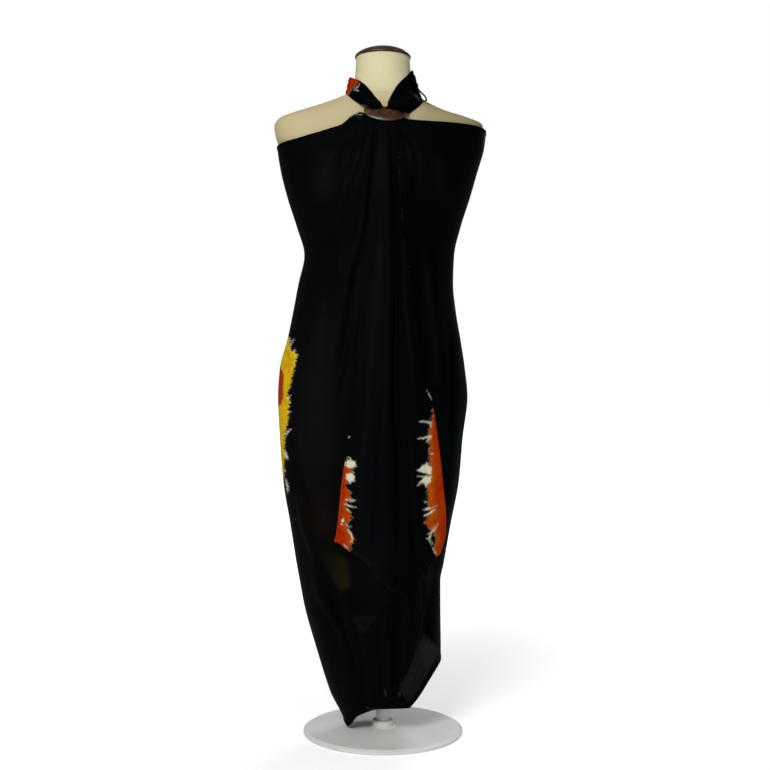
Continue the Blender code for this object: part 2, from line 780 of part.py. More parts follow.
def main():
    clear_scene()
    parts = make_collection("sarong on a dress form")
    cutters = make_collection("cutters")
    cloth = make_material("black rayon", COLOURS["cloth"], 0.85, 0.0)
    linen = make_material("cream linen", COLOURS["linen"], 0.90, 0.0)
    wood = make_material("dark wood", COLOURS["wood"], 0.35, 0.0)
    shell = make_material("coconut shell", COLOURS["shell"], 0.30, 0.0)
    steel = make_material("white painted steel", COLOURS["steel"], 0.45, 0.0)
    build_form(linen, parts)
    build_cap(wood, parts)
    build_pole(steel, parts)
    build_base(steel, parts)
    build_wrap(cloth, parts)
    build_corner(cloth, parts)
    columns = fall_columns()
    build_fall("fall_right", columns[LEFT_SPANS - LAP_SPANS:], 0.0, cloth, parts)
    build_fall("fall_left", columns[:LEFT_SPANS + 1], LAYER, cloth, parts)
    build_tail("tail_left", LEFT_TAIL, -1.0, cloth, parts)
    build_tail("tail_right", RIGHT_TAIL, 1.0, cloth, parts)
    build_knot(cloth, parts)
    build_end("knot_end_left", LEFT_END, cloth, parts)
    build_end("knot_end_right", RIGHT_END, cloth, parts)
    build_buckle(shell, parts, cutters)


main()
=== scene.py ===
# Tie-dyed sarong on a dress form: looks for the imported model.
# Metres, +Z up, the front towards -Y. An angle round the body is 0 in front, 90 at +X.
import math

import bpy
import numpy as np
from mathutils import Matrix, Vector


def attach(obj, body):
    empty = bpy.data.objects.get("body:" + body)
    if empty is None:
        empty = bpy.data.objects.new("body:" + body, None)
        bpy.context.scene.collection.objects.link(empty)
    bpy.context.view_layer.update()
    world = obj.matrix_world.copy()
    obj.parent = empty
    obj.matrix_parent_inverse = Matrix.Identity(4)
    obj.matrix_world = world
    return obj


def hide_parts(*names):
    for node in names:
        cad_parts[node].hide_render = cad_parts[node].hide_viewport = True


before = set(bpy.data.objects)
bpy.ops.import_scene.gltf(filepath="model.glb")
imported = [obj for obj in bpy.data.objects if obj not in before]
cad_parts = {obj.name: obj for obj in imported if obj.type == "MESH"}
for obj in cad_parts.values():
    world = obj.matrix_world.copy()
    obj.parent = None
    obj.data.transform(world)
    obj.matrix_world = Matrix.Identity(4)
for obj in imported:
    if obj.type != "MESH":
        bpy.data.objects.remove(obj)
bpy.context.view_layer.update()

print("frame loaded,", len(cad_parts), "nodes")

sectionNames = ("height", "left", "right", "front", "back", "squareness")

# Level sections of the cloth: height, half widths left and right, depths front and back, squareness
wrapSections = (
    (1.150, 0.2035, 0.1960, 0.0960, 0.1020, 2.80), (1.135, 0.2030, 0.1945, 0.1020, 0.1030, 2.80),
    (1.097, 0.1985, 0.1900, 0.1200, 0.1050, 2.80), (1.055, 0.1920, 0.1780, 0.1350, 0.1070, 2.60),
    (1.003, 0.1790, 0.1630, 0.1330, 0.1050, 2.40), (0.950, 0.1620, 0.1460, 0.1210, 0.1000, 2.30),
    (0.897, 0.1480, 0.1340, 0.1130, 0.0980, 2.20), (0.844, 0.1590, 0.1320, 0.1140, 0.1030, 2.20),
    (0.791, 0.1690, 0.1370, 0.1170, 0.1130, 2.20), (0.738, 0.1800, 0.1460, 0.1200, 0.1210, 2.20),
    (0.685, 0.1940, 0.1540, 0.1220, 0.1260, 2.20), (0.632, 0.1975, 0.1590, 0.1230, 0.1280, 2.20),
    (0.553, 0.1940, 0.1500, 0.1210, 0.1260, 2.15), (0.473, 0.1880, 0.1430, 0.1170, 0.1220, 2.10),
    (0.394, 0.1750, 0.1280, 0.1120, 0.1160, 2.10), (0.315, 0.1625, 0.1140, 0.1040, 0.1080, 2.05),
    (0.285, 0.1570, 0.1082, 0.1003, 0.1043, 2.03), (0.235, 0.1475, 0.1082, 0.0940, 0.0980, 2.00),
    (0.156, 0.1250, 0.1090, 0.0820, 0.0860, 2.00), (0.077, 0.1000, 0.1090, 0.0660, 0.0700, 2.00),
    (0.010, 0.0720, 0.1080, 0.0500, 0.0560, 2.00),
)

# The same of the dress form
formSections = (
    (1.270, 0.0510, 0.0510, 0.0500, 0.0520, 2.00), (1.245, 0.0520, 0.0520, 0.0510, 0.0530, 2.00),
    (1.225, 0.0545, 0.0545, 0.0530, 0.0560, 2.00), (1.213, 0.0590, 0.0580, 0.0560, 0.0600, 2.05),
    (1.205, 0.0640, 0.0610, 0.0590, 0.0640, 2.10), (1.198, 0.0712, 0.0652, 0.0630, 0.0680, 2.15),
    (1.191, 0.0852, 0.0742, 0.0670, 0.0720, 2.20), (1.183, 0.1048, 0.0845, 0.0710, 0.0770, 2.30),
    (1.175, 0.1278, 0.0980, 0.0750, 0.0810, 2.40), (1.167, 0.1528, 0.1138, 0.0790, 0.0850, 2.50),
    (1.160, 0.1752, 0.1310, 0.0820, 0.0880, 2.60), (1.151, 0.1970, 0.1600, 0.0860, 0.0910, 2.70),
    (1.138, 0.2045, 0.1880, 0.0910, 0.0940, 2.80), (1.118, 0.2015, 0.1850, 0.1000, 0.0960, 2.80),
    (1.100, 0.1945, 0.1810, 0.1080, 0.0970, 2.80), (1.075, 0.1780, 0.1690, 0.1190, 0.0985, 2.70),
    (1.040, 0.1600, 0.1540, 0.1240, 0.0980, 2.50), (0.990, 0.1480, 0.1440, 0.1120, 0.0940, 2.30),
    (0.930, 0.1310, 0.1290, 0.0930, 0.0860, 2.20), (0.891, 0.1230, 0.1220, 0.0880, 0.0830, 2.20),
    (0.830, 0.1270, 0.1230, 0.0930, 0.0910, 2.20), (0.760, 0.1390, 0.1340, 0.1010, 0.1040, 2.20),
    (0.680, 0.1470, 0.1440, 0.1050, 0.1120, 2.20), (0.620, 0.1500, 0.1480, 0.1050, 0.1130, 2.20),
    (0.585, 0.1470, 0.1450, 0.1020, 0.1090, 2.20), (0.570, 0.1400, 0.1380, 0.0960, 0.1020, 2.20),
    (0.565, 0.1310, 0.1290, 0.0880, 0.0940, 2.20),
)

# Edges of the cloth: angle round the body, height
topEdge = (
    (-90.0, 1.0990), (-75.0, 1.0970), (-61.0, 1.0990), (-51.0, 1.1060), (-40.0, 1.1165), (-36.0, 1.1205),
    (-32.5, 1.1290), (-30.0, 1.1368), (-27.0, 1.1425), (-23.5, 1.1462), (-18.5, 1.1440), (-14.0, 1.1375),
    (17.0, 1.1375), (24.0, 1.1320), (38.0, 1.1295), (60.0, 1.1280), (90.0, 1.1260), (130.0, 1.1020), (180.0, 1.0850),
    (235.0, 1.0780), (270.0, 1.0990),
)

hemEdge = (
    (-90.0, 0.0200), (-73.0, 0.0150), (-43.0, 0.0420), (-6.0, 0.0570), (41.5, 0.0578), (46.0, 0.0664), (54.0, 0.0852),
    (62.0, 0.1057), (70.0, 0.1215), (78.0, 0.1310), (87.0, 0.1355), (108.0, 0.1520), (124.0, 0.1500), (136.0, 0.1050),
    (152.0, 0.0520), (180.0, 0.0380), (230.0, 0.0300), (270.0, 0.0200),
)

# Large folds: x and height at the top, x in the middle, x and height at the foot, width, height of the fold
frontFolds = (
    (-0.012, 1.130, -0.030, -0.090, 0.640, 0.016, -0.0065), (-0.022, 1.130, -0.060, -0.088, 0.800, 0.018, 0.0050),
    (-0.004, 1.130, -0.004, -0.032, 0.460, 0.026, 0.0050), (0.015, 1.130, 0.024, 0.030, 0.360, 0.016, -0.0070),
    (0.028, 1.120, 0.044, 0.066, 0.540, 0.018, 0.0055), (0.040, 1.120, 0.066, 0.094, 0.620, 0.018, -0.0055),
    (0.050, 1.120, 0.088, 0.112, 0.580, 0.020, 0.0050), (-0.040, 1.120, -0.078, -0.120, 0.940, 0.016, -0.0040),
    (-0.125, 1.110, -0.105, -0.120, 0.940, 0.040, 0.0050), (0.125, 1.110, 0.095, 0.105, 0.940, 0.036, 0.0050),
    (-0.150, 0.680, -0.120, -0.105, 0.220, 0.022, 0.0070), (-0.115, 0.500, -0.095, -0.072, 0.150, 0.018, -0.0065),
    (-0.065, 0.360, -0.055, -0.050, 0.040, 0.022, 0.0055), (0.020, 0.380, 0.021, 0.021, 0.040, 0.016, -0.0065),
    (0.050, 0.400, 0.050, 0.045, 0.040, 0.020, 0.0055), (0.104, 0.400, 0.090, 0.070, 0.150, 0.018, -0.0045),
)

backFolds = (
    (-0.130, 1.070, -0.090, -0.120, 0.620, 0.024, 0.0060), (-0.070, 1.080, -0.050, -0.085, 0.280, 0.024, -0.0075),
    (-0.030, 1.080, -0.012, -0.035, 0.080, 0.026, 0.0070), (0.030, 1.080, 0.018, 0.022, 0.100, 0.022, -0.0080),
    (0.085, 1.090, 0.055, 0.060, 0.200, 0.026, 0.0065), (0.140, 1.090, 0.090, 0.102, 0.400, 0.022, -0.0060),
    (-0.165, 0.880, -0.135, -0.075, 0.120, 0.024, -0.0060),
)

# Falls: height, x of the left edge, of the edge between them, of the right edge
fallEdges = (
    (1.127, -0.0140, 0.0080, 0.0260), (1.062, -0.0160, 0.0170, 0.0290), (1.006, -0.0230, 0.0200, 0.0320),
    (0.930, -0.0290, 0.0230, 0.0370), (0.859, -0.0360, 0.0250, 0.0460), (0.796, -0.0420, 0.0240, 0.0590),
    (0.660, -0.0520, 0.0200, 0.0820), (0.555, -0.0625, 0.0240, 0.0990), (0.473, -0.0742, 0.0310, 0.1088),
    (0.412, -0.0805, 0.0320, 0.1138), (0.385, -0.0845, 0.0310, 0.1138), (0.365, -0.0890, 0.0300, 0.1112),
    (0.340, -0.0905, 0.0290, 0.1050), (0.270, -0.0930, 0.0270, 0.0960),
)

# How far they hang off the wrap, by height
fallOffsets = (
    (1.127, 0.0020), (1.070, 0.0044), (0.680, 0.0044), (0.540, 0.0072), (0.270, 0.0072),
)

# Their lower edges, by the share across: height, and for the corner also x
leftHem = (
    (0.00, 0.3710), (0.25, 0.3520), (0.48, 0.3300), (0.57, 0.3150), (0.82, 0.2880), (1.00, 0.2730),
)

rightHem = (
    (0.00, 0.2730), (0.65, 0.3140), (1.00, 0.3440),
)

cornerHem = (
    (0.00, 0.2291, -0.0545), (0.24, 0.1995, -0.0391), (0.50, 0.2302, -0.0124), (0.75, 0.2597, 0.0127),
    (1.00, 0.2800, 0.0280),
)

# Neck tails: angle, height of the lower and the upper edge, distance off the form
leftTail = (
    (-19.0, 1.1630, 1.1840, 0.0140), (-28.0, 1.1620, 1.2000, 0.0085), (-42.0, 1.1840, 1.2130, 0.0048),
    (-60.0, 1.1960, 1.2260, 0.0040), (-90.0, 1.2050, 1.2345, 0.0036), (-120.0, 1.2130, 1.2370, 0.0034),
    (-152.0, 1.2180, 1.2370, 0.0044), (-163.0, 1.2190, 1.2360, 0.0085),
)

rightTail = (
    (20.0, 1.1620, 1.1990, 0.0140), (28.0, 1.1480, 1.2110, 0.0100), (36.0, 1.1570, 1.2190, 0.0075),
    (46.0, 1.1710, 1.2280, 0.0055), (56.0, 1.1870, 1.2370, 0.0045), (72.0, 1.2010, 1.2440, 0.0040),
    (90.0, 1.2060, 1.2440, 0.0036), (120.0, 1.2110, 1.2410, 0.0034), (152.0, 1.2170, 1.2370, 0.0044),
    (163.0, 1.2190, 1.2360, 0.0085),
)

# Ends of the knot: height, angle of the inner and the outer edge
leftEnd = (
    (1.2130, 184.0, 196.0), (1.1950, 184.0, 202.0), (1.1700, 186.0, 206.0), (1.1450, 190.0, 206.0),
    (1.1280, 197.0, 201.0),
)

rightEnd = (
    (1.2130, 176.0, 164.0), (1.1980, 175.0, 159.0), (1.1780, 173.0, 155.0), (1.1580, 169.0, 155.0),
    (1.1440, 162.0, 158.0),
)
# Height over which a fold begins and ends, share of the turn over which the sides stay smooth,
# share of a crease at each of its ends that is tapered, and the middle of the ring of dye in degrees
foldFade = 0.070
sideFade = 0.30
creaseTaper = 0.22
ringMiddle = -92.0


def tenths(rows):
    # Metres from a table written in tenths of a millimetre
    return [tenths(row) for row in rows] if isinstance(rows, tuple) else rows / 10000.0


# Soft creases: points (x, height), width before and after the line, height of the ridge or depth of the trough
frontCreases = tenths((
    (((-660, 11280), (-560, 11360), (-450, 11410), (-340, 11410)), 24, 20, 34),
    (((-620, 11220), (-500, 11310), (-360, 11350)), 22, 22, -20),
    (((-560, 11120), (-440, 11260), (-300, 11340)), 30, 24, 22),
    (((145, 11200), (185, 10000), (253, 8535), (199, 6423), (342, 4400)), 40, 66, -42),
    (((60, 11250), (72, 10500), (85, 9300)), 33, 46, 18),
    (((-87, 11240), (-159, 10647), (-230, 10000), (-392, 8875)), 43, 36, -40),
    (((-392, 9200), (-553, 8284), (-767, 6888), (-929, 5725)), 85, 68, -36),
    (((-290, 10000), (-330, 9650), (-463, 9000), (-642, 8391), (-770, 7600)), 40, 46, 34),
    (((-240, 11210), (-375, 10566), (-554, 10028), (-715, 9579)), 36, 53, -30),
    (((-170, 11260), (-270, 10900), (-330, 10500)), 32, 36, 22),
    (((-420, 11080), (-574, 10920), (-826, 10722)), 32, 43, -28),
    (((-340, 11080), (-501, 10826), (-645, 10538)), 32, 40, -26),
    (((-450, 11180), (-640, 11030), (-930, 10860)), 33, 46, 18),
    (((-769, 10745), (-1010, 10307), (-1180, 9700)), 79, 106, 26),
    (((-600, 10300), (-780, 9800), (-880, 9200)), 66, 79, 20),
    (((250, 11240), (362, 11054), (542, 10758), (632, 10129)), 36, 53, -28),
    (((370, 11200), (560, 11080), (800, 10850)), 32, 40, -22),
    (((420, 11000), (500, 10650), (570, 10200)), 36, 40, 20),
    (((520, 10450), (591, 9831), (680, 9260)), 33, 43, -28), (((717, 9700), (843, 9033), (914, 8432)), 40, 53, -28),
    (((950, 10700), (1060, 10200), (1080, 9650)), 79, 92, 22),
    (((300, 8700), (468, 7336), (593, 6100)), 68, 59, 28), (((760, 8900), (954, 7518), (1043, 6300)), 68, 68, 26),
    (((594, 8200), (720, 7158), (845, 6376)), 59, 68, -26),
    (((50, 10300), (109, 8763), (92, 6726), (40, 5200)), 46, 53, 18),
    (((-194, 7800), (-266, 6262), (-373, 5012), (-409, 3500)), 85, 102, 30),
    (((-30, 6400), (-105, 4835), (-194, 3300)), 53, 67, -26), (((430, 6000), (557, 4472), (664, 3200)), 60, 67, 26),
    (((360, 6200), (468, 4830), (539, 3200)), 45, 53, -18), (((760, 5400), (840, 4500), (900, 3600)), 53, 67, -16),
    (((-1099, 8364), (-1280, 6620), (-1388, 5000)), 102, 119, 26),
    (((-1250, 8000), (-1450, 7000), (-1580, 6000)), 76, 85, -22),
    (((1290, 8300), (1350, 6621), (1290, 4985), (1120, 3500)), 85, 85, 26),
    (((1180, 7600), (1230, 6600), (1200, 5400)), 59, 68, -20),
    (((-1577, 4700), (-1432, 3935), (-1178, 3250)), 60, 75, 36),
    (((-1498, 5100), (-1281, 4271), (-992, 3413)), 60, 67, -30),
    (((-1600, 4721), (-1210, 4685), (-800, 4739)), 37, 45, -14),
    (((-1220, 2900), (-950, 2250), (-700, 1720)), 45, 53, 34),
    (((-1127, 2950), (-866, 2316), (-613, 1709), (-468, 1094)), 45, 53, -36),
    (((-379, 2303), (-307, 1359), (-216, 542)), 53, 60, 26), (((-125, 2375), (-71, 1450), (2, 515)), 45, 53, -24),
    (((110, 2600), (183, 1737), (237, 500)), 45, 45, -36), (((420, 2800), (382, 1732), (291, 600)), 53, 60, 28),
    (((690, 3180), (762, 2456), (889, 1600)), 53, 60, -26), (((816, 2488), (653, 2099), (454, 1456)), 45, 45, 24),
    (((-248, 2900), (-87, 3060), (56, 3280)), 60, 90, 26),
))
backCreases = tenths((
    (((-600, 10700), (-480, 9600), (-700, 7800)), 80, 100, 30),
    (((-1100, 10500), (-900, 9600), (-1180, 8000)), 90, 80, -28),
    (((100, 10700), (40, 9000), (140, 6400)), 70, 90, -32), (((600, 10850), (360, 9400), (480, 7000)), 80, 70, 30),
    (((1100, 10900), (800, 9600), (980, 7400)), 90, 110, -26),
    (((1500, 11000), (1180, 9800), (1220, 8600)), 80, 80, 24),
    (((-400, 7600), (-520, 5600), (-620, 3000)), 90, 80, -30), (((0, 7000), (80, 4600), (-40, 1600)), 80, 100, 30),
    (((600, 7200), (700, 5200), (620, 2600)), 80, 90, -28), (((1000, 6600), (1040, 5000), (880, 3000)), 90, 90, 26),
    (((-1100, 7000), (-1200, 5200), (-960, 3000)), 100, 90, 28),
    (((-1400, 5600), (-1200, 4000), (-880, 2200)), 80, 80, -26),
    (((-300, 3000), (-240, 2000), (-300, 700)), 70, 80, 30), (((300, 3200), (340, 2000), (280, 900)), 70, 80, -26),
))

# Pale strokes where the cloth was tied, seen from the front: points (x, height, half width)
leftWhite = tenths((
    ((-598, 5124, 72), (-544, 5115, 61)), ((-553, 5106, 54), (-471, 5088, 3)), ((-583, 5169, 22), (-578, 5230, 0)),
    ((-628, 5160, 20), (-657, 5151, 8)), ((-535, 5151, 22), (-488, 5176, 0)), ((-592, 4891, 64), (-562, 4882, 57)),
    ((-553, 4847, 39), (-496, 4807, 1)), ((-580, 4829, 43), (-585, 4768, 3)), ((-553, 4943, 18), (-510, 4976, 0)),
    ((-625, 4925, 18), (-653, 4943, 3)), ((-651, 4483, 10), (-501, 4474, 3)), ((-580, 4449, 14), (-496, 4467, 1)),
    ((-675, 4399, 18), (-598, 4370, 13), (-481, 4345, 0)), ((-639, 4309, 10), (-567, 4241, 5)),
    ((-703, 4148, 12), (-739, 4037, 10)), ((-653, 4030, 8), (-567, 3989, 0)),
    ((-619, 3948, 7), (-564, 3869, 8), (-539, 3751, 10), (-578, 3722, 3)), ((-693, 3668, 3), (-630, 3618, 1)),
    ((-711, 3622, 1), (-657, 3568, 0)), ((-634, 5237, 0), (-596, 5251, -1)), ((-632, 5595, 7), (-589, 5599, 1)),
))
rightWhite = tenths((
    ((770, 6450, -11), (838, 6344, -1), (874, 6255, -8)), ((652, 5880, 0), (745, 5871, 8), (855, 5857, 18)),
    ((847, 5850, 14), (858, 5771, 5)), ((616, 5576, 0), (736, 5581, 10), (851, 5610, 20)),
    ((837, 5581, 18), (776, 5509, 5)), ((830, 5289, 1), (901, 5296, 5)), ((747, 5026, 75), (804, 5015, 72)),
    ((715, 5015, 50), (615, 5004, 5)), ((779, 5072, 47), (787, 5148, 1)), ((826, 4961, 39), (858, 4947, 18)),
    ((776, 4836, 68), (801, 4822, 64)), ((744, 4822, 54), (658, 4786, 5)), ((783, 4771, 47), (769, 4693, 1)),
    ((833, 4875, 22), (862, 4882, 14)), ((711, 4886, 10), (600, 4904, -1)), ((693, 4771, 7), (622, 4728, -1)),
    ((761, 4435, 10), (772, 4424, 5)), ((729, 4288, 3), (779, 4302, 23), (851, 4306, 14)),
    ((851, 4306, 7), (973, 4352, 1)), ((751, 4181, 3), (815, 4209, 20), (887, 4249, 13)),
    ((887, 4249, 12), (944, 4292, 3)), ((998, 4030, 1), (926, 3941, 12), (855, 3833, 20), (833, 3736, 10)),
    ((851, 3869, 7), (797, 3840, 0)), ((837, 3779, 7), (790, 3761, 0)), ((837, 3726, 5), (869, 3647, 1)),
    ((901, 3586, 3), (923, 3532, 12), (955, 3464, 3)), ((876, 3711, 0), (901, 3658, 0)),
))
ringWhite = tenths((
    ((-1748, 7197, 3), (-1688, 7304, 21), (-1625, 7378, 1)), ((-1718, 7360, 3), (-1740, 7430, 1)),
    ((-1662, 7093, 5), (-1618, 7160, 17), (-1599, 7200, 1)), ((-1585, 7056, 1), (-1592, 6956, 1)),
    ((-1599, 6956, 1), (-1618, 6826, 1)), ((-1770, 6315, 1), (-1725, 6304, 25), (-1685, 6345, 1)),
    ((-1725, 6271, 12), (-1710, 6226, 1)), ((-1742, 6045, 1), (-1692, 6056, 3)),
    ((-1818, 5608, 1), (-1751, 5671, 24), (-1681, 5726, 1)), ((-1810, 5559, 3), (-1773, 5611, 11)),
    ((-1799, 5322, 3), (-1799, 5237, 37), (-1742, 5148, 3)), ((-1829, 5363, 5), (-1810, 5296, 9)),
    ((-1833, 4982, 3), (-1799, 4907, 5)), ((-1818, 4811, 3), (-1785, 4707, 21), (-1742, 4633, 9)),
    ((-1773, 4641, 19), (-1770, 4526, 5)), ((-1744, 4630, 5), (-1733, 4567, -1)),
))
tailWhite = tenths((
    ((-545, 11990, -2), (-480, 12035, 12), (-440, 12060, -4)),
    ((-535, 11965, -4), (-490, 11960, 10), (-448, 11925, -6)), ((-455, 12110, -8), (-420, 12095, -8)),
))

# Dyed areas by height: width in from the edge of a fall, or x of the inner border
leftColour = tenths((
    (5241, -54), (5178, 13), (5115, 68), (5026, 134), (4972, 134), (4882, 102), (4793, 104), (4739, 75), (4712, 86),
    (4668, 113), (4614, 161), (4560, 167), (4506, 163), (4471, 149), (4417, 127), (4345, 124), (4292, 156),
    (4202, 218), (4130, 224), (4077, 175), (4014, 156), (3969, 170), (3880, 251), (3754, 313), (3701, 276),
    (3647, 260), (3593, 269), (3521, 272),
))
rightColour = tenths((
    (6180, -40), (6110, 6), (6002, 26), (5939, 52), (5885, 79), (5814, 70), (5760, 97), (5724, 118), (5653, 133),
    (5599, 136), (5527, 152), (5456, 136), (5402, 154), (5366, 149), (5330, 174), (5294, 158), (5259, 179),
    (5214, 172), (5169, 183), (5097, 208), (5008, 217), (4900, 222), (4793, 233), (4703, 265), (4650, 258),
    (4614, 269), (4560, 276), (4471, 278), (4381, 279), (4309, 297), (4238, 276), (4184, 294), (4130, 322),
    (4048, 369), (3969, 322), (3915, 276), (3844, 226), (3754, 175), (3701, 193), (3611, 197), (3539, 150),
    (3486, 118), (3432, 79), (3378, 21), (3342, -54),
))
ringColour = tenths((
    (7493, -1870), (7419, -1729), (7326, -1725), (7271, -1729), (7215, -1710), (7178, -1696), (7123, -1636),
    (7086, -1544), (7049, -1562), (6993, -1588), (6882, -1603), (6789, -1633), (6678, -1666), (6586, -1681),
    (6493, -1703), (6437, -1733), (6382, -1755), (6326, -1748), (6234, -1703), (6160, -1710), (6067, -1742),
    (6048, -1699), (6011, -1729), (5919, -1735), (5789, -1766), (5697, -1792), (5585, -1803), (5511, -1810),
    (5400, -1822), (5289, -1822), (5141, -1829), (5048, -1838), (4919, -1840), (4807, -1848), (4696, -1907),
    (4585, -1981),
))
redSpot = tenths((
    (6882, -1925), (6821, -1881), (6771, -1855), (6623, -1835), (6437, -1842), (6326, -1853), (6252, -1866),
    (6167, -1899), (6104, -1944),
))


def smoothStep(value):
    share = np.clip(value, 0.0, 1.0)
    return share * share * (3.0 - 2.0 * share)


def readTable(rows, column, place):
    # Smooth value of a column at a place between the rows, which never overshoots them
    data = np.array(sorted(rows), float)
    keys = data[:, 0]
    values = data[:, column]
    spans = np.diff(keys)
    grades = np.diff(values) / spans
    slopes = np.zeros(len(keys))
    product = grades[:-1] * grades[1:]
    total = grades[:-1] + grades[1:]
    slopes[1:-1] = np.where(product > 0.0, 2.0 * product / np.where(total == 0.0, 1.0, total), 0.0)
    place = np.clip(place, keys[0], keys[-1])
    index = np.clip(np.searchsorted(keys, place, side="right") - 1, 0, len(keys) - 2)
    share = (place - keys[index]) / spans[index]
    square = share * share
    cube = square * share
    return (
        values[index] * (2.0 * cube - 3.0 * square + 1.0)
        + slopes[index] * spans[index] * (cube - 2.0 * square + share)
        + values[index + 1] * (3.0 * square - 2.0 * cube)
        + slopes[index + 1] * spans[index] * (cube - square)
    )


def sectionAt(rows, height, side=0.0, front=0.0):
    section = {name: readTable(rows, column, height) for column, name in enumerate(sectionNames) if column}
    section["left"] = section["left"] + side
    section["right"] = section["right"] + side
    section["front"] = section["front"] + front
    return section


def sectionPoint(section, angle):
    # Place on a level section, the way out of it, and its distance from the middle
    across = np.sin(angle)
    ahead = np.cos(angle)
    width = np.where(across > 0.0, section["right"], section["left"])
    depth = np.where(ahead > 0.0, section["front"], section["back"])
    power = section["squareness"]
    radius = ((np.abs(across) / width) ** power + (np.abs(ahead) / depth) ** power) ** (-1.0 / power)
    x = radius * across
    y = -radius * ahead
    outX = np.sign(across) * np.abs(x) ** (power - 1.0) / width ** power
    outY = -np.sign(ahead) * np.abs(y) ** (power - 1.0) / depth ** power
    length = np.hypot(outX, outY)
    return x, y, outX / length, outY / length, radius


def angleOf(section, x, atBack=False):
    # Angle at which a section crosses a given distance across
    width = np.where(x > 0.0, section["right"], section["left"])
    depth = section["back"] if atBack else section["front"]
    power = section["squareness"]
    share = np.clip(np.abs(x) / width, 0.0, 0.999)
    angle = np.arctan2(x, depth * (1.0 - share ** power) ** (1.0 / power))
    return np.pi - angle if atBack else angle


def foldShift(section, angle, radius, height):
    # The large folds, the same as in the solids
    total = np.zeros(np.shape(height))
    for folds, atBack in ((frontFolds, False), (backFolds, True)):
        side = (np.cos(angle) < 0.0) == atBack
        for topX, topZ, midX, lowX, lowZ, width, depth in folds:
            share = (topZ - height) / (topZ - lowZ)
            bend = midX - 0.5 * (topX + lowX)
            x = topX + (lowX - topX) * share + 4.0 * bend * share * (1.0 - share)
            turn = (angle - angleOf(section, x, atBack) + np.pi) % (2.0 * np.pi) - np.pi
            fade = smoothStep((topZ - height) / foldFade) * smoothStep((height - lowZ) / foldFade)
            total += np.where(side, depth * fade * np.exp(-((turn * radius / width) ** 2)), 0.0)
    return total * smoothStep(np.abs(np.cos(angle)) / sideFade)


def smoothPath(points, count):
    # Even points along a smooth curve through a few
    points = np.array(points, float)
    padded = np.concatenate([[2.0 * points[0] - points[1]], points, [2.0 * points[-1] - points[-2]]])
    place = np.linspace(0.0, len(points) - 1.0, count)
    index = np.clip(place.astype(int), 0, len(points) - 2)
    share = (place - index).reshape((-1,) + (1,) * (points.ndim - 1))
    p0, p1, p2, p3 = (padded[index + k] for k in range(4))
    return 0.5 * (
        2.0 * p1
        + (p2 - p0) * share
        + (2.0 * p0 - 5.0 * p1 + 4.0 * p2 - p3) * share ** 2
        + (3.0 * p1 - p0 - 3.0 * p2 + p3) * share ** 3
    )


def fromSegment(x, z, start, end):
    # Share along a straight line where it comes nearest, and how far away it is there
    spanX, spanZ = end[0] - start[0], end[1] - start[1]
    share = ((x - start[0]) * spanX + (z - start[1]) * spanZ) / (spanX ** 2 + spanZ ** 2)
    share = np.clip(share, 0.0, 1.0)
    return share, np.hypot(x - start[0] - spanX * share, z - start[1] - spanZ * share)


def creaseShift(x, z, creases):
    # Soft ridges and troughs along listed lines, seen flat from the front or the back
    total = np.zeros(np.shape(x))
    for points, before, after, height in creases:
        line = smoothPath(points, 4 * len(points) + 5)
        reach = 3.0 * max(before, after)
        near = (x > line[:, 0].min() - reach) & (x < line[:, 0].max() + reach)
        near &= (z > line[:, 1].min() - reach) & (z < line[:, 1].max() + reach)
        if not near.any():
            continue
        px, pz = x[near], z[near]
        best = np.full(px.shape, 1e9)
        side = np.zeros(px.shape)
        along = np.zeros(px.shape)
        count = len(line) - 1
        for k in range(count):
            start, span = line[k], line[k + 1] - line[k]
            share = ((px - start[0]) * span[0] + (pz - start[1]) * span[1]) / (span @ span)
            share = np.clip(share, 0.0, 1.0)
            offX = px - start[0] - span[0] * share
            offZ = pz - start[1] - span[1] * share
            distance = np.hypot(offX, offZ)
            closer = distance < best
            best = np.where(closer, distance, best)
            side = np.where(closer, span[0] * offZ - span[1] * offX, side)
            along = np.where(closer, (k + share) / count, along)
        width = np.where(side > 0.0, after, before)
        taper = smoothStep(along / creaseTaper) * smoothStep((1.0 - along) / creaseTaper)
        total[near] += height * taper * np.exp(-((best / width) ** 2))
    return total


def wrapSurface(angle, height, off=0.0, flare=0.0):
    section = sectionAt(wrapSections, height, flare, off)
    x, y, outX, outY, radius = sectionPoint(section, angle)
    shift = foldShift(section, angle, radius, height)
    ahead = np.cos(angle)
    fine = np.where(ahead > 0.0, creaseShift(x, height, frontCreases), creaseShift(x, height, backCreases))
    shift = shift + fine * smoothStep(np.abs(ahead) / sideFade)
    return np.stack([x + outX * shift, y + outY * shift, height], -1)


def formSurface(angle, height, off=0.0):
    section = sectionAt(formSections, height)
    x, y, outX, outY, _ = sectionPoint(section, angle)
    return np.stack([x + outX * off, y + outY * off, height + 0.0 * x], -1)


def gridNormals(points, closed=False):
    # Way out of a grid whose rows run down and whose columns run towards +X in front
    down = np.gradient(points, axis=0)
    if closed:
        across = 0.5 * (np.roll(points, -1, axis=1) - np.roll(points, 1, axis=1))
    else:
        across = np.gradient(points, axis=1)
    normal = np.cross(down, across)
    return normal / np.maximum(np.linalg.norm(normal, axis=2, keepdims=True), 1e-12)


def gridFaces(rows, columns, closed, first=0, flipped=False):
    last = columns if closed else columns - 1
    r, c = np.meshgrid(np.arange(rows - 1), np.arange(last), indexing="ij")
    a = first + r * columns + c
    b = first + r * columns + (c + 1) % columns
    faces = np.stack([a, a + columns, b + columns, b], -1).reshape(-1, 4)
    return faces[:, ::-1] if flipped else faces


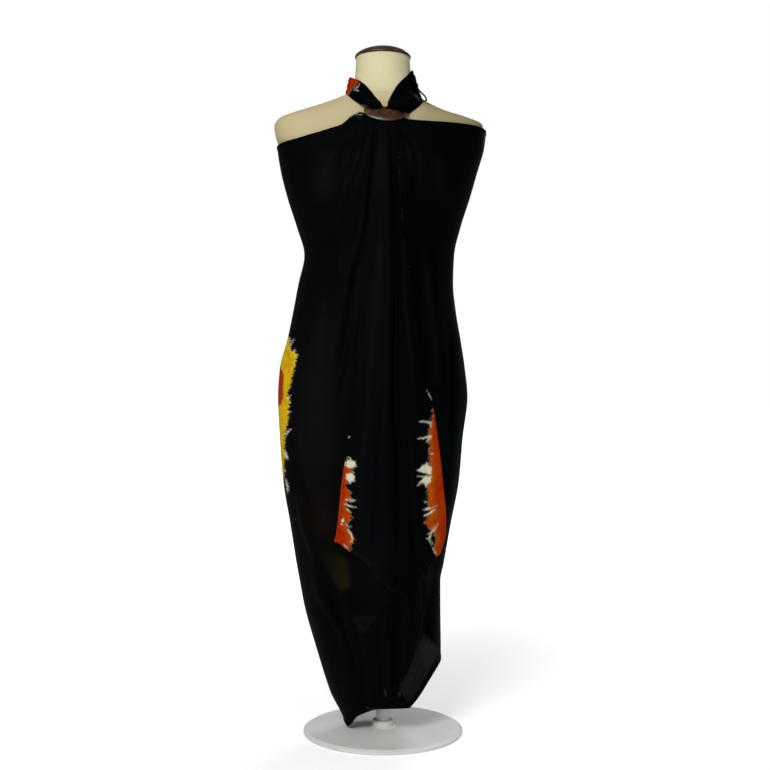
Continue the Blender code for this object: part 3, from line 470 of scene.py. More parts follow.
def meshObject(name, points, faces, material, smooth=True):
    mesh = bpy.data.meshes.new(name)
    mesh.from_pydata(np.asarray(points).tolist(), [], faces)
    mesh.materials.append(material)
    mesh.update()
    if smooth:
        mesh.shade_smooth()
    item = bpy.data.objects.new(name, mesh)
    bpy.context.scene.collection.objects.link(item)
    return item


def flowMap(points, closed):
    # Cloth's own measure in metres: across along the rows, down along the columns
    nextColumn = np.roll(points, -1, axis=1) if closed else points[:, 1:]
    lastColumn = points if closed else points[:, :-1]
    across = np.linalg.norm(nextColumn - lastColumn, axis=2).mean(axis=0)
    down = np.linalg.norm(points[1:] - points[:-1], axis=2).mean(axis=1)
    u = np.concatenate([[0.0], np.cumsum(across)])[: points.shape[1]]
    v = np.concatenate([[0.0], np.cumsum(down)])
    return np.stack(np.meshgrid(u, v), -1)


def cornerPoints(mesh):
    corner = np.zeros(len(mesh.loops), np.int32)
    mesh.loops.foreach_get("vertex_index", corner)
    return corner


def keepFlow(mesh, uv):
    layer = mesh.uv_layers.new(name="clothFlow")
    layer.data.foreach_set("uv", uv.astype(np.float32).ravel())


def keepMark(mesh, mark, values):
    # A value at each point, which the materials read by its name
    attribute = mesh.attributes.new(mark, "FLOAT", "POINT")
    attribute.data.foreach_set("value", values.astype(np.float32))


def clothSheet(name, points, closed, wall, material, marks):
    # Thin two-sided cloth: outer and inner face, and a narrow face round each free edge
    rows, columns = points.shape[:2]
    normal = gridNormals(points, closed)
    wall = np.broadcast_to(wall, points.shape[:2])[..., None]
    outer = points + normal * wall * 0.5
    inner = points - normal * wall * 0.5
    count = rows * columns
    faces = [gridFaces(rows, columns, closed), gridFaces(rows, columns, closed, count, True)]
    top = np.arange(columns)
    rims = [(top, False), ((rows - 1) * columns + top, True)]
    if not closed:
        side = np.arange(rows) * columns
        rims += [(side, True), (side + columns - 1, False)]
    for line, flipped in rims:
        ahead = np.roll(line, -1) if closed else line[1:]
        back = line if closed else line[:-1]
        rim = np.stack([back, ahead, ahead + count, back + count], -1)
        faces.append(rim[:, ::-1] if flipped else rim)
    places = np.concatenate([outer.reshape(-1, 3), inner.reshape(-1, 3)])
    item = meshObject(name, places, np.concatenate(faces).tolist(), material)
    mesh = item.data
    flow = flowMap(points, closed).reshape(-1, 2)
    flow = np.concatenate([flow, flow])
    uv = flow[cornerPoints(mesh)]
    if closed:
        # The last column meets the first, so its faces carry on past the end
        girth = np.linalg.norm(points[:, 0] - points[:, -1], axis=1).mean() + flow[:, 0].max()
        quad = uv.reshape(-1, 4, 2)
        wraps = (quad[..., 0].max(axis=1) - quad[..., 0].min(axis=1)) > 0.5 * girth
        low = quad[..., 0] < 0.5 * girth
        quad[..., 0] += np.where(wraps[:, None] & low, girth, 0.0)
        uv = quad.reshape(-1, 2)
    keepFlow(mesh, uv)
    for mark, values in marks.items():
        values = np.broadcast_to(values, points.shape[:2]).ravel()
        keepMark(mesh, mark, np.concatenate([values, values]))
    corner = points[:-1, :-1]
    area = np.linalg.norm(np.cross(points[1:, :-1] - corner, points[:-1, 1:] - corner), axis=2).sum()
    print(name, "faces", len(mesh.polygons), "area %.4f" % area)
    return item


# Hems in metres: rows of points close to the edge, width of the roll, how soon it ends and how round it is
hemSteps = np.array([0.0, 0.0006, 0.0024, 0.0042, 0.0050])
hemWidth, hemBlend, hemRound = 0.0046, 0.0006, 0.0008


def edgedShares(length, count, hemStart, hemEnd):
    # Even shares, with extra ones close to a hemmed edge
    steps = hemSteps / length
    first = steps if hemStart else np.array([0.0])
    last = 1.0 - steps[::-1] if hemEnd else np.array([1.0])
    middle = np.linspace(first[-1], last[0], count + 2)[1:-1]
    return np.concatenate([first, middle, last])


def hemWall(distance, plain, folded):
    # Cloth is thicker where its edge is rolled and stitched
    roll = smoothStep((hemWidth - distance) / hemBlend) * (0.55 + 0.45 * smoothStep(distance / hemRound))
    return plain + (folded - plain) * roll


def newMaterial(name, roughness, specular, coat=0.0):
    material = bpy.data.materials.new(name)
    material.use_nodes = True
    shader = material.node_tree.nodes["Principled BSDF"]
    shader.inputs["Roughness"].default_value = roughness
    shader.inputs["Specular IOR Level"].default_value = specular
    shader.inputs["Coat Weight"].default_value = coat
    return material, material.node_tree, shader


def addNode(tree, kind, inputs=(), **settings):
    # New node with its settings, and its inputs as numbers or as other nodes' outputs
    node = tree.nodes.new("ShaderNode" + kind)
    for name, value in settings.items():
        setattr(node, name, value)
    for key, value in dict(inputs).items():
        if isinstance(value, bpy.types.NodeSocket):
            tree.links.new(value, node.inputs[key])
        else:
            node.inputs[key].default_value = value
    return node


def mathNode(tree, operation, first, second=0.0):
    return addNode(tree, "Math", {0: first, 1: second}, operation=operation).outputs[0]


def product(tree, first, second):
    return mathNode(tree, "MULTIPLY", first, second)


def total(tree, first, second):
    return mathNode(tree, "ADD", first, second)


def rangeNode(tree, value, low, high, toLow=0.0, toHigh=1.0):
    inputs = {"Value": value, "From Min": low, "From Max": high, "To Min": toLow, "To Max": toHigh}
    return addNode(tree, "MapRange", inputs, interpolation_type="SMOOTHSTEP").outputs["Result"]


def mixColour(tree, share, first, second):
    return addNode(tree, "Mix", {0: share, 6: first, 7: second}, data_type="RGBA").outputs[2]


def scaledNoise(tree, place, scale, detail=2.0, roughness=0.5):
    # Noise with its own frequency along each axis, in features per metre
    moved = addNode(tree, "Mapping", {"Vector": place, "Scale": scale}).outputs[0]
    inputs = {"Vector": moved, "Scale": 1.0, "Detail": detail, "Roughness": roughness}
    return addNode(tree, "TexNoise", inputs).outputs["Fac"]


def addBump(tree, shader, height, distance, strength, under=None):
    inputs = {"Height": height, "Distance": distance, "Strength": strength}
    if under is not None:
        inputs["Normal"] = under
    normal = addNode(tree, "Bump", inputs).outputs[0]
    tree.links.new(normal, shader.inputs["Normal"])
    return normal


def weaveHeight(tree, place, threads, bands):
    # Plain weave: two crossed sets of fine threads, in threads per metre
    inputs = {"Vector": place, "Scale": threads * 2.0 * math.pi / 20.0}
    first, second = (addNode(tree, "TexWave", inputs, bands_direction=band).outputs["Fac"] for band in bands)
    return product(tree, first, second)


def makeRayon(name, specular):
    look = {
        "black": (0.0002, 0.0007, 0.0011, 1.0),
        "worn": (0.0032, 0.0036, 0.0040, 1.0),
        "cream": (0.74, 0.70, 0.54, 1.0),
        "red": (0.385, 0.024, 0.001, 1.0),
        "orange": (0.46, 0.105, 0.004, 1.0),
        "yellow": (0.69, 0.44, 0.006, 1.0),
        "olive": (0.0105, 0.0082, 0.0030, 1.0),
        "maroon": (0.0090, 0.0045, 0.0036, 1.0),
        "paleLight": (0.0135, 0.0150, 0.0160, 1.0),
        "jag": 0.0120, "hair": 0.0110, "rust": 0.055, "threads": 1900.0,
    }
    material, tree, shader = newMaterial(name, 0.55, specular)
    flow = addNode(tree, "UVMap", uv_map="clothFlow").outputs[0]
    mark = {
        name: addNode(tree, "Attribute", attribute_name=name).outputs["Fac"]
        for name in ("dyeColour", "dyeWhiteAndHighlight", "dyeHue", "dimOlive", "dimMaroon", "paintedPaleLight", "toneAndPaintedLight")
    }
    # Dye creeps along the threads, so the edges are drawn out sideways in fine hairs
    creep = scaledNoise(tree, flow, (40.0, 300.0, 1.0), 3.0, 0.6)
    hair = scaledNoise(tree, flow, (90.0, 780.0, 1.0), 2.0, 0.6)
    jag = product(tree, mathNode(tree, "SUBTRACT", creep, 0.5), look["jag"])
    thin = product(tree, mathNode(tree, "SUBTRACT", hair, 0.5), look["hair"])
    ragged = total(tree, jag, thin)
    dyed = total(tree, mark["dyeColour"], ragged)
    colourArea = rangeNode(tree, dyed, -0.0012, 0.0016)
    darkEdge = rangeNode(tree, dyed, -0.0044, 0.0004)
    fine = total(tree, product(tree, jag, 0.35), product(tree, thin, 0.95))
    whiteArea = rangeNode(tree, total(tree, mark["dyeWhiteAndHighlight"], fine), -0.0018, 0.0022)
    # Fine pale hairs all along the border of the colour
    outside = rangeNode(tree, dyed, -0.0026, -0.0002)
    inside = rangeNode(tree, dyed, 0.0004, 0.0028, 1.0, 0.0)
    strand = rangeNode(tree, hair, 0.50, 0.64, 0.0, 0.40)
    fringe = product(tree, product(tree, outside, inside), strand)
    # The black is lightened by painted light and sheen from the attribute, varied by random wear
    wear = scaledNoise(tree, flow, (9.0, 5.0, 1.0), 3.0, 0.6)
    sheenAndWear = product(tree, mark["toneAndPaintedLight"], total(tree, product(tree, wear, 0.9), 0.55))
    ground = mixColour(tree, sheenAndWear, look["black"], look["worn"])
    ground = mixColour(tree, mark["dimOlive"], ground, look["olive"])
    ground = mixColour(tree, mark["dimMaroon"], ground, look["maroon"])
    # Painted light: a mottled pale grey where light shows through the cloth, by the attribute
    crushed = scaledNoise(tree, flow, (70.0, 110.0, 1.0), 3.0, 0.6)
    paleLight = product(tree, mark["paintedPaleLight"], rangeNode(tree, crushed, 0.30, 0.66, 0.55, 1.25))
    ground = mixColour(tree, paleLight, ground, look["paleLight"])
    hue = addNode(tree, "ValToRGB", {"Fac": mark["dyeHue"]})
    ramp = hue.color_ramp
    ramp.elements[0].color = look["red"]
    ramp.elements[1].color = look["yellow"]
    ramp.elements.new(0.5).color = look["orange"]
    uneven = scaledNoise(tree, flow, (60.0, 90.0, 1.0), 3.0, 0.6)
    shade = rangeNode(tree, uneven, 0.25, 0.75, 0.80, 1.12)
    bright, rust = (
        addNode(tree, "VectorMath", {0: hue.outputs["Color"], "Scale": scale}, operation="SCALE").outputs[0]
        for scale in (shade, look["rust"])
    )
    colour = mixColour(tree, darkEdge, ground, rust)
    colour = mixColour(tree, colourArea, colour, bright)
    stained = mathNode(tree, "MAXIMUM", product(tree, whiteArea, 0.95), fringe)
    colour = mixColour(tree, stained, colour, look["cream"])
    tree.links.new(colour, shader.inputs["Base Color"])
    crumple = scaledNoise(tree, flow, (55.0, 22.0, 1.0), 3.0, 0.55)
    under = addBump(tree, shader, crumple, 0.0015, 0.35)
    addBump(tree, shader, weaveHeight(tree, flow, look["threads"], "XY"), 0.00012, 0.30, under)
    return material


def makeLinen():
    look = {
        "light": (0.70, 0.655, 0.425, 1.0), "warm": (0.64, 0.585, 0.36, 1.0), "shoulder": (0.55, 0.465, 0.275, 1.0),
        "paintedShade": (0.36, 0.305, 0.165, 1.0), "slub": (0.52, 0.45, 0.27, 1.0), "seam": (0.56, 0.49, 0.29, 1.0),
        "threads": 900.0,
    }
    material, tree, shader = newMaterial("creamLinen", 0.90, 0.12)
    place = addNode(tree, "TexCoord").outputs["Object"]
    patch = scaledNoise(tree, place, (7.0, 7.0, 9.0), 3.0, 0.55)
    colour = mixColour(tree, rangeNode(tree, patch, 0.3, 0.7), look["light"], look["warm"])
    parts = addNode(tree, "SeparateXYZ", {0: place}).outputs
    # Darker and browner on the shoulders below the neck; painted shade darkens the right shoulder further
    shoulder = mixColour(tree, rangeNode(tree, parts["X"], 0.000, 0.110), look["shoulder"], look["paintedShade"])
    colour = mixColour(tree, rangeNode(tree, parts["Z"], 1.166, 1.212), shoulder, colour)
    slub = scaledNoise(tree, place, (60.0, 60.0, 900.0), 2.0, 0.6)
    colour = mixColour(tree, rangeNode(tree, slub, 0.62, 0.80, 0.0, 0.16), colour, look["slub"])
    seam = addNode(tree, "Attribute", attribute_name="seamDistance").outputs["Fac"]
    gap = rangeNode(tree, mathNode(tree, "ABSOLUTE", seam), 0.0002, 0.0013)
    colour = mixColour(tree, gap, look["seam"], colour)
    tree.links.new(colour, shader.inputs["Base Color"])
    under = addBump(tree, shader, gap, 0.0008, 0.7)
    addBump(tree, shader, weaveHeight(tree, place, look["threads"], "ZX"), 0.00020, 0.35, under)
    return material


def makeWood():
    look = {"dark": (0.020, 0.009, 0.005, 1.0), "light": (0.070, 0.034, 0.018, 1.0)}
    material, tree, shader = newMaterial("capWood", 0.40, 0.28, coat=0.06)
    place = addNode(tree, "TexCoord").outputs["Object"]
    grain = scaledNoise(tree, place, (18.0, 260.0, 60.0), 4.0, 0.6)
    fine = scaledNoise(tree, place, (60.0, 1400.0, 200.0), 2.0, 0.5)
    both = total(tree, product(tree, grain, 0.7), product(tree, fine, 0.3))
    colour = mixColour(tree, rangeNode(tree, both, 0.35, 0.65), look["dark"], look["light"])
    tree.links.new(colour, shader.inputs["Base Color"])
    addBump(tree, shader, both, 0.0002, 0.25)
    return material


def makeShell():
    look = {"dark": (0.012, 0.004, 0.001, 1.0), "brown": (0.062, 0.022, 0.004, 1.0), "tan": (0.110, 0.062, 0.018, 1.0),
            "copper": (0.26, 0.085, 0.020, 1.0)}
    material, tree, shader = newMaterial("coconutShell", 0.34, 0.30, coat=0.10)
    place = addNode(tree, "TexCoord").outputs["Object"]
    fibre = scaledNoise(tree, place, (60.0, 300.0, 420.0), 4.0, 0.65)
    patch = scaledNoise(tree, place, (55.0, 90.0, 90.0), 3.0, 0.6)
    fleck = scaledNoise(tree, place, (220.0, 500.0, 700.0), 2.0, 0.6)
    colour = mixColour(tree, rangeNode(tree, fibre, 0.35, 0.68), look["dark"], look["brown"])
    colour = mixColour(tree, rangeNode(tree, patch, 0.48, 0.70, 0.0, 0.8), colour, look["tan"])
    colour = mixColour(tree, rangeNode(tree, fleck, 0.56, 0.66, 0.0, 0.85), colour, look["dark"])
    colour = mixColour(tree, rangeNode(tree, fleck, 0.37, 0.30, 0.0, 0.75), colour, look["copper"])
    tree.links.new(colour, shader.inputs["Base Color"])
    addBump(tree, shader, fibre, 0.0003, 0.35)
    return material


def makePaint():
    look = {"white": (0.86, 0.86, 0.85, 1.0), "dusty": (0.80, 0.80, 0.785, 1.0)}
    material, tree, shader = newMaterial("whitePaint", 0.42, 0.5)
    place = addNode(tree, "TexCoord").outputs["Object"]
    dust = scaledNoise(tree, place, (14.0, 14.0, 14.0), 3.0, 0.6)
    colour = mixColour(tree, rangeNode(tree, dust, 0.35, 0.7), look["white"], look["dusty"])
    tree.links.new(colour, shader.inputs["Base Color"])
    peel = scaledNoise(tree, place, (900.0, 900.0, 900.0), 1.0, 0.5)
    addBump(tree, shader, peel, 0.00008, 0.30)
    return material


rayon = makeRayon("dyedRayon", 0.019)
# Painted shade: a copy of the cloth with less sheen for the tails, loop and knot, which sit in shade
paintedShadeRayon = makeRayon("paintedShadeRayon", 0.007)
linen = makeLinen()
wood = makeWood()
shell = makeShell()
paint = makePaint()
print("materials made")


def ownPiece(item, slot, *nodes):
    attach(item, "root")
    if nodes:
        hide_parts(*nodes)
    return item


def edgeWall(points, edges, look):
    # Thickness of the cloth, from the distance along it to the nearest of some edges
    found = []
    for edge in edges:
        axis = 1 if edge in ("left", "right") else 0
        steps = np.linalg.norm(np.diff(points, axis=axis), axis=2)
        away = np.insert(np.cumsum(steps, axis=axis), 0, 0.0, axis=axis)
        found.append(np.take(away, [-1], axis=axis) - away if edge in ("right", "foot") else away)
    return hemWall(np.minimum.reduce(found), look["wall"], look["hem"])


def noMarks():
    return {
        "dyeColour": -1.0, "dyeWhiteAndHighlight": -1.0, "dyeHue": 0.5, "dimOlive": 0.0, "dimMaroon": 0.0, "paintedPaleLight": 0.0,
        "toneAndPaintedLight": 0.0,
    }


def keepUndyed(mesh):
    for mark in ("dyeColour", "dyeWhiteAndHighlight"):
        keepMark(mesh, mark, np.full(len(mesh.vertices), -1.0))


def strokeDistance(strokes, x, z):
    # Distance into the nearest of some tapered strokes, below zero outside them
    best = np.full(np.shape(x), -1.0)
    for stroke in strokes:
        for start, end in zip(stroke, stroke[1:]):
            share, away = fromSegment(x, z, start, end)
            best = np.maximum(best, start[2] + (end[2] - start[2]) * share - away)
    return best


def cornersDistance(x, z, corners):
    # Distance in from the sides of a flat area, below zero outside it
    best = np.full(np.shape(x), 1e9)
    inside = np.zeros(np.shape(x), bool)
    for k in range(len(corners)):
        (x0, z0), (x1, z1) = corners[k - 1], corners[k]
        best = np.minimum(best, fromSegment(x, z, corners[k - 1], corners[k])[1])
        rise = z1 - z0 if abs(z1 - z0) > 1e-9 else 1e-9
        inside ^= ((z0 > z) != (z1 > z)) & (x < x0 + (x1 - x0) * (z - z0) / rise)
    return np.where(inside, best, -best)


def stripMarks(points, colour, white, edge, atLeft):
    # Colour lies along the outer edge of a fall, with pale strokes where the cloth was tied
    look = fallLook
    x, height = points[..., 0], points[..., 2]
    inward = x - edge[..., 0] if atLeft else edge[..., 0] - x
    wide = readTable(colour, 1, height)
    red, gain = look["leftHue"] if atLeft else look["rightHue"]
    marks = noMarks()
    marks["dyeColour"] = wide - inward
    marks["dyeWhiteAndHighlight"] = strokeDistance(white, x, height)
    marks["dyeHue"] = red + gain * smoothStep((inward / np.maximum(wide, 0.004) - 0.35) / 0.6)
    marks["dyeHue"] = marks["dyeHue"] + 0.05 * np.sin(height * 75.0 + inward * 160.0)
    marks["toneAndPaintedLight"] = toneAndPaintedLight(x, height)
    if atLeft:
        # Painted light: pale facets near the hem of the left fall
        facets = np.maximum.reduce([cornersDistance(x, height, corners) for corners in look["facets"]])
        marks["paintedPaleLight"] = look["facetShare"] * smoothStep(0.5 + facets / 0.0040)
    return marks


def softSpot(x, z, spot):
    # Share inside a soft-edged oval: x, height, half width, half height
    centreX, centreZ, wide, high = spot
    return smoothStep(1.6 - np.hypot((x - centreX) / wide, (z - centreZ) / high))


def glowAt(x, z, area):
    # Share that fades away from the middle: x, height, width, height of the area
    centreX, centreZ, wide, high = area
    return np.exp(-(((x - centreX) / wide) ** 2 + ((z - centreZ) / high) ** 2))


# Painted light on the black: lighter from the left to the middle and darker to the right of it, by x; and painted sheen
# and light in soft areas (x, height, width, height), share
paintedLightAcross = ((-0.200, 0.10), (-0.140, 0.22), (-0.040, 0.26), (0.008, 0.30), (0.022, 0.04), (0.200, 0.00))
paintedSheenAreas = (
    ((-0.1063, 1.0150, 0.0240, 0.0360), 0.70), ((0.0962, 1.0220, 0.0200, 0.0340), 0.45),
    ((-0.0050, 0.7900, 0.0220, 0.2400), 0.32), ((-0.0150, 1.0500, 0.0150, 0.0600), 0.10),
    ((-0.0120, 0.3600, 0.0260, 0.0900), 0.22), ((-0.1250, 0.6400, 0.0420, 0.1500), 0.90),
    ((-0.0400, 0.4500, 0.0300, 0.1200), 0.18), ((-0.0200, 0.3400, 0.0400, 0.0500), 0.16),
    ((0.0430, 0.4600, 0.0160, 0.0600), 0.14), ((0.0300, 0.1750, 0.0160, 0.0700), 0.14),
)
# Share of painted light added for each metre that a crease rises
paintedCreaseLight = 75.0


def toneAndPaintedLight(x, z):
    faded = readTable(paintedLightAcross, 1, x)
    for area, share in paintedSheenAreas:
        faded = faded + share * glowAt(x, z, area)
    # Ridges are painted lighter and troughs darker, as painted light and shade
    return np.maximum(faded + paintedCreaseLight * creaseShift(x, z, frontCreases), 0.0)


# Lines of stitches, just above the outer face of the cloth
stitchLines = []


# The wrap round the body

wrapLook = {
    "columns": 188, "crowding": 0.48, "lean": 0.22, "wall": 0.0006, "hem": 0.0018,
    "rowParts": ((0.36, 56), (0.67, 138), (1.0, 62)),
    # Painted light: corners of the grey area where light shows through a single layer, and pale flecks near the hem
    "silver": ((0.0732, 0.1937), (0.0830, 0.1860), (0.1060, 0.1600), (0.0880, 0.1290), (0.0498, 0.0700),
               (0.0440, 0.0740), (0.0290, 0.0964), (0.0480, 0.1330), (0.0612, 0.1700)),
    "flecks": (((0.0043, 0.0905, 0.0016), (0.0046, 0.0840, 0.0014)),
               ((0.0270, 0.0880, 0.0012), (0.0335, 0.0838, 0.0011)),
               ((-0.0330, 0.0571, 0.0006), (-0.0040, 0.0580, 0.0005))),
    # Painted highlight: pale strokes on the bunch of cloth beside the buckle
    "bunchHighlight": (((-0.0590, 1.1322, -0.0008), (-0.0530, 1.1396, -0.0004), (-0.0430, 1.1436, -0.0005)),
              ((-0.0470, 1.1404, -0.0009), (-0.0395, 1.1408, -0.0007))),
    "olive": ((-0.1130, 0.3400), (-0.0935, 0.3545), (-0.0650, 0.3400), (-0.0590, 0.2900), (-0.0780, 0.2790),
              (-0.0960, 0.3080)),
    "oliveSpot": (-0.0680, 0.3050, 0.0200, 0.0300), "silverSpot": (0.088, 0.155, 0.018, 0.022),
    "maroon": (((-0.1060, 0.4020, 0.0200, 0.0400), 0.62), ((-0.1150, 0.5200, 0.0400, 0.1300), 0.30)),
    "orangeSpot": (-0.1730, 0.6960, 0.0035, 0.020), "backTone": 0.22,
    # The ring of dye: its end in degrees, and its lowest and highest point
    "ringEnd": -20.0, "ringLow": 0.452, "ringHigh": 0.748,
    # Its middle height in front and behind, and how much longer it is there
    "ringCentre": 0.645, "backCentre": 0.653, "backScale": 0.93,
}


# Length of the cloth down the body, in metres
clothLength = 1.05


def sparedRows(parts):
    # Shares down the cloth, with more rows where it is dyed
    shares, start = [], 0.0
    for end, count in parts:
        shares.append(np.linspace(start, end, count, endpoint=False))
        start = end
    shares = np.concatenate(shares + [np.array([1.0])])
    ends = hemSteps[1:] / clothLength
    shares = np.concatenate([shares, ends, 1.0 - ends])
    return np.unique(np.round(shares, 7))


def wrapMarks(angle, points):
    look = wrapLook
    degrees = np.degrees(angle) % 360.0
    degrees = np.where(degrees > 90.0, degrees - 360.0, degrees)
    front = np.cos(angle) > 0.0
    x, height = points[..., 0], points[..., 2]
    # The ring of dye goes on round the back as it does in front
    behind = degrees < ringMiddle
    shownHeight = np.where(behind, look["ringCentre"] + (height - look["backCentre"]) * look["backScale"], height)
    section = sectionAt(wrapSections, height)
    mirrored = sectionPoint(section, np.where(behind, np.radians(2.0 * ringMiddle) - np.radians(degrees), angle))[0]
    shownX = np.where(behind, mirrored, x)
    marks = noMarks()
    near = degrees < look["ringEnd"]
    edge = readTable(ringColour, 1, shownHeight)
    banded = near & (shownHeight > look["ringLow"]) & (shownHeight < look["ringHigh"])
    marks["dyeColour"] = np.where(banded, edge - shownX, -0.02)
    ring = np.where(near, strokeDistance(ringWhite, shownX, shownHeight), -1.0)
    # Painted highlight: the bunch strokes are added to the white of the dye
    marks["dyeWhiteAndHighlight"] = np.maximum(ring, np.where(front, strokeDistance(look["bunchHighlight"], x, height), -1.0))
    red = (readTable(redSpot, 1, shownHeight) - shownX) / 0.0022
    marks["dyeHue"] = 1.0 - 0.94 * smoothStep(0.5 + red) * smoothStep((shownHeight - 0.612) / 0.006) * near
    marks["dyeHue"] -= 0.13 * softSpot(shownX, shownHeight, look["orangeSpot"]) * near
    olive = smoothStep(0.5 + cornersDistance(x, height, look["olive"]) / 0.013)
    marks["dimOlive"] = front * olive * (0.45 + 0.60 * softSpot(x, height, look["oliveSpot"]))
    marks["dimMaroon"] = sum(share * front * glowAt(x, height, area) for area, share in look["maroon"])
    marks["toneAndPaintedLight"] = np.where(front, toneAndPaintedLight(x, height), look["backTone"])
    # Painted light: grey where light shows through a single layer of cloth, and brighter flecks near the hem
    silver = smoothStep(0.5 + cornersDistance(x, height, look["silver"]) / 0.0030)
    marks["paintedPaleLight"] = front * (silver * (0.62 + 0.50 * softSpot(x, height, look["silverSpot"])))
    spots = strokeDistance(look["flecks"], x, height)
    marks["paintedPaleLight"] += front * 3.0 * smoothStep(0.5 + spots / 0.0012)
    return marks


def buildWrap():
    look = wrapLook
    turn = 2.0 * np.pi * np.arange(look["columns"]) / look["columns"]
    turn = turn - look["crowding"] * np.sin(turn) + look["lean"] * (1.0 - np.cos(turn))
    degrees = np.degrees(turn) % 360.0
    degrees = np.where(degrees > 270.0, degrees - 360.0, degrees)
    high = readTable(topEdge, 1, degrees)
    low = readTable(hemEdge, 1, degrees)
    share = sparedRows(look["rowParts"])[:, None]
    height = high + (low - high) * share
    angle = np.broadcast_to(turn, height.shape)
    points = wrapSurface(angle, height)
    wall = edgeWall(points, ("top", "foot"), look)
    cloth = clothSheet("wrapCloth", points, True, wall, rayon, wrapMarks(angle, points))
    normal = gridNormals(points, True)
    for row in (3, len(points) - 4):
        line = points[row] + normal[row] * (0.5 * wall[row][:, None] + 0.0001)
        stitchLines.append(np.vstack([line, line[:1]]))
    return ownPiece(cloth, "cloth", "wrap")


# The two hanging falls and the corner of the layer under them

fallLook = {
    "top": 1.1360, "leftColumns": 100, "rightColumns": 100, "lap": 1.0 / 11.0,
    "rowParts": ((0.58, 84), (1.0, 196)),
    "layer": 0.0020, "flareStart": 0.740, "flareLength": 0.46, "flare": 0.030,
    "wall": 0.0006, "hem": 0.0018, "sink": 0.0030,
    "facets": (((-0.0553, 0.3600), (-0.0250, 0.3400), (-0.0177, 0.3270), (-0.0330, 0.3290), (-0.0510, 0.3480)),
               ((-0.0213, 0.3147), (-0.0105, 0.3111), (0.0271, 0.2753), (0.0056, 0.2860), (-0.0213, 0.3075))),
    "facetShare": 0.16,
    # Share from red to yellow at the outer edge, and what it gains inwards
    "leftHue": (0.04, 0.20), "rightHue": (0.07, 0.30), "stitchLift": 0.0010,
}


def fallGrid(across, hems, edges, layer):
    look = fallLook
    step = sparedRows(look["rowParts"])[:, None]
    height = look["top"] + (hems - look["top"]) * step
    side = look["flare"] * smoothStep((look["flareStart"] - height) / look["flareLength"])
    off = layer + readTable(fallOffsets, 1, height)
    section = sectionAt(wrapSections, height, side, off)
    angles = [angleOf(section, readTable(fallEdges, column, height)) for column in edges]
    angle = angles[0] + (angles[1] - angles[0]) * across
    if len(edges) == 3:
        angle = np.where(across < 0.0, angles[0] + (angles[0] - angles[2]) * across, angle)
    else:
        # The inner edge runs into the fold between the falls
        off = off - look["sink"] * smoothStep((across - 0.93) / 0.07)
    return wrapSurface(angle, height, off, side)


def finishFall(name, points, marks, atLeft, node):
    look = fallLook
    wall = edgeWall(points, ("left" if atLeft else "right", "foot"), look)
    cloth = clothSheet(name, points, False, wall, rayon, marks)
    raised = points + gridNormals(points) * look["stitchLift"]
    stitchLines.append(raised[:-3, 3 if atLeft else -4])
    stitchLines.append(raised[-4, 3:] if atLeft else raised[-4, :-3])
    return ownPiece(cloth, "cloth", node)


def buildFalls():
    look = fallLook
    across = edgedShares(0.12, look["leftColumns"], True, False)[None, :]
    left = fallGrid(across, readTable(leftHem, 1, across), (1, 2), look["layer"])
    across = edgedShares(0.10, look["rightColumns"], False, True)[None, :]
    across = -look["lap"] + (1.0 + look["lap"]) * across
    hems = np.where(across < 0.0, readTable(leftHem, 1, 1.0 + across), readTable(rightHem, 1, across))
    right = fallGrid(across, hems, (2, 3, 1), 0.0)
    leftMarks = stripMarks(left, leftColour, leftWhite, left[:, :1], True)
    rightMarks = stripMarks(right, rightColour, rightWhite, right[:, -1:], False)
    return (
        finishFall("fallLeftCloth", left, leftMarks, True, "fall_left"),
        finishFall("fallRightCloth", right, rightMarks, False, "fall_right"),
    )


cornerLook = {
    "columns": 54, "rows": 80, "top": 0.500, "off": 0.0027, "topLeft": -0.050, "topRight": 0.012,
    "wall": 0.0006, "hem": 0.0014, "stitchLift": 0.0008, "paleShare": 0.20,
    "pale": ((-0.0545, 0.2350), (-0.0300, 0.2370), (-0.0150, 0.2380), (-0.0110, 0.2290), (-0.0391, 0.1960),
             (-0.0560, 0.2290)),
}


def buildCorner():
    look = cornerLook
    across = edgedShares(0.07, look["columns"], True, True)[None, :]
    down = edgedShares(0.26, look["rows"], False, True)[:, None]
    low = readTable(cornerHem, 1, across)
    lowX = readTable(cornerHem, 2, across)
    topX = look["topLeft"] + (look["topRight"] - look["topLeft"]) * across
    height = look["top"] + (low - look["top"]) * down
    section = sectionAt(wrapSections, height, 0.0, look["off"])
    angle = angleOf(section, topX + (lowX - topX) * down)
    points = wrapSurface(angle, height, look["off"])
    x, z = points[..., 0], points[..., 2]
    marks = noMarks()
    # Painted light: a pale area on the corner
    marks["paintedPaleLight"] = look["paleShare"] * smoothStep(0.5 + cornersDistance(x, z, look["pale"]) / 0.006)
    marks["toneAndPaintedLight"] = toneAndPaintedLight(x, z)
    wall = edgeWall(points, ("left", "right", "foot"), look)
    cloth = clothSheet("innerCornerCloth", points, False, wall, rayon, marks)
    raised = points + gridNormals(points) * look["stitchLift"]
    stitchLines.append(raised[-4, 4:-4])
    return ownPiece(cloth, "cloth", "inner_corner")


# The buckle and the neck tails

buckleLook = {
    "centre": (0.0022, -0.1028, 1.1444), "tilt": 29.0, "halfWidth": 0.0370, "halfHeight": 0.0187,
    "dome": 0.0032, "back": 0.0012, "slotOffset": 0.0175, "slotRise": 0.0080,
    "slotHalfWidth": 0.0142, "slotHalfHeight": 0.0036, "steps": 144, "slotSteps": 48, "cutDepth": 0.01,
    "bevel": 0.0004, "bevelAngle": 50.0, "sharpAngle": 45.0, "roll": -9.0, "dip": 0.0052, "dipWidth": 0.0085,
}
buckleFrame = (
    Matrix.Translation(buckleLook["centre"])
    @ Matrix.Rotation(math.radians(-buckleLook["tilt"]), 4, "X")
    @ Matrix.Rotation(math.radians(90.0), 4, "X")
)


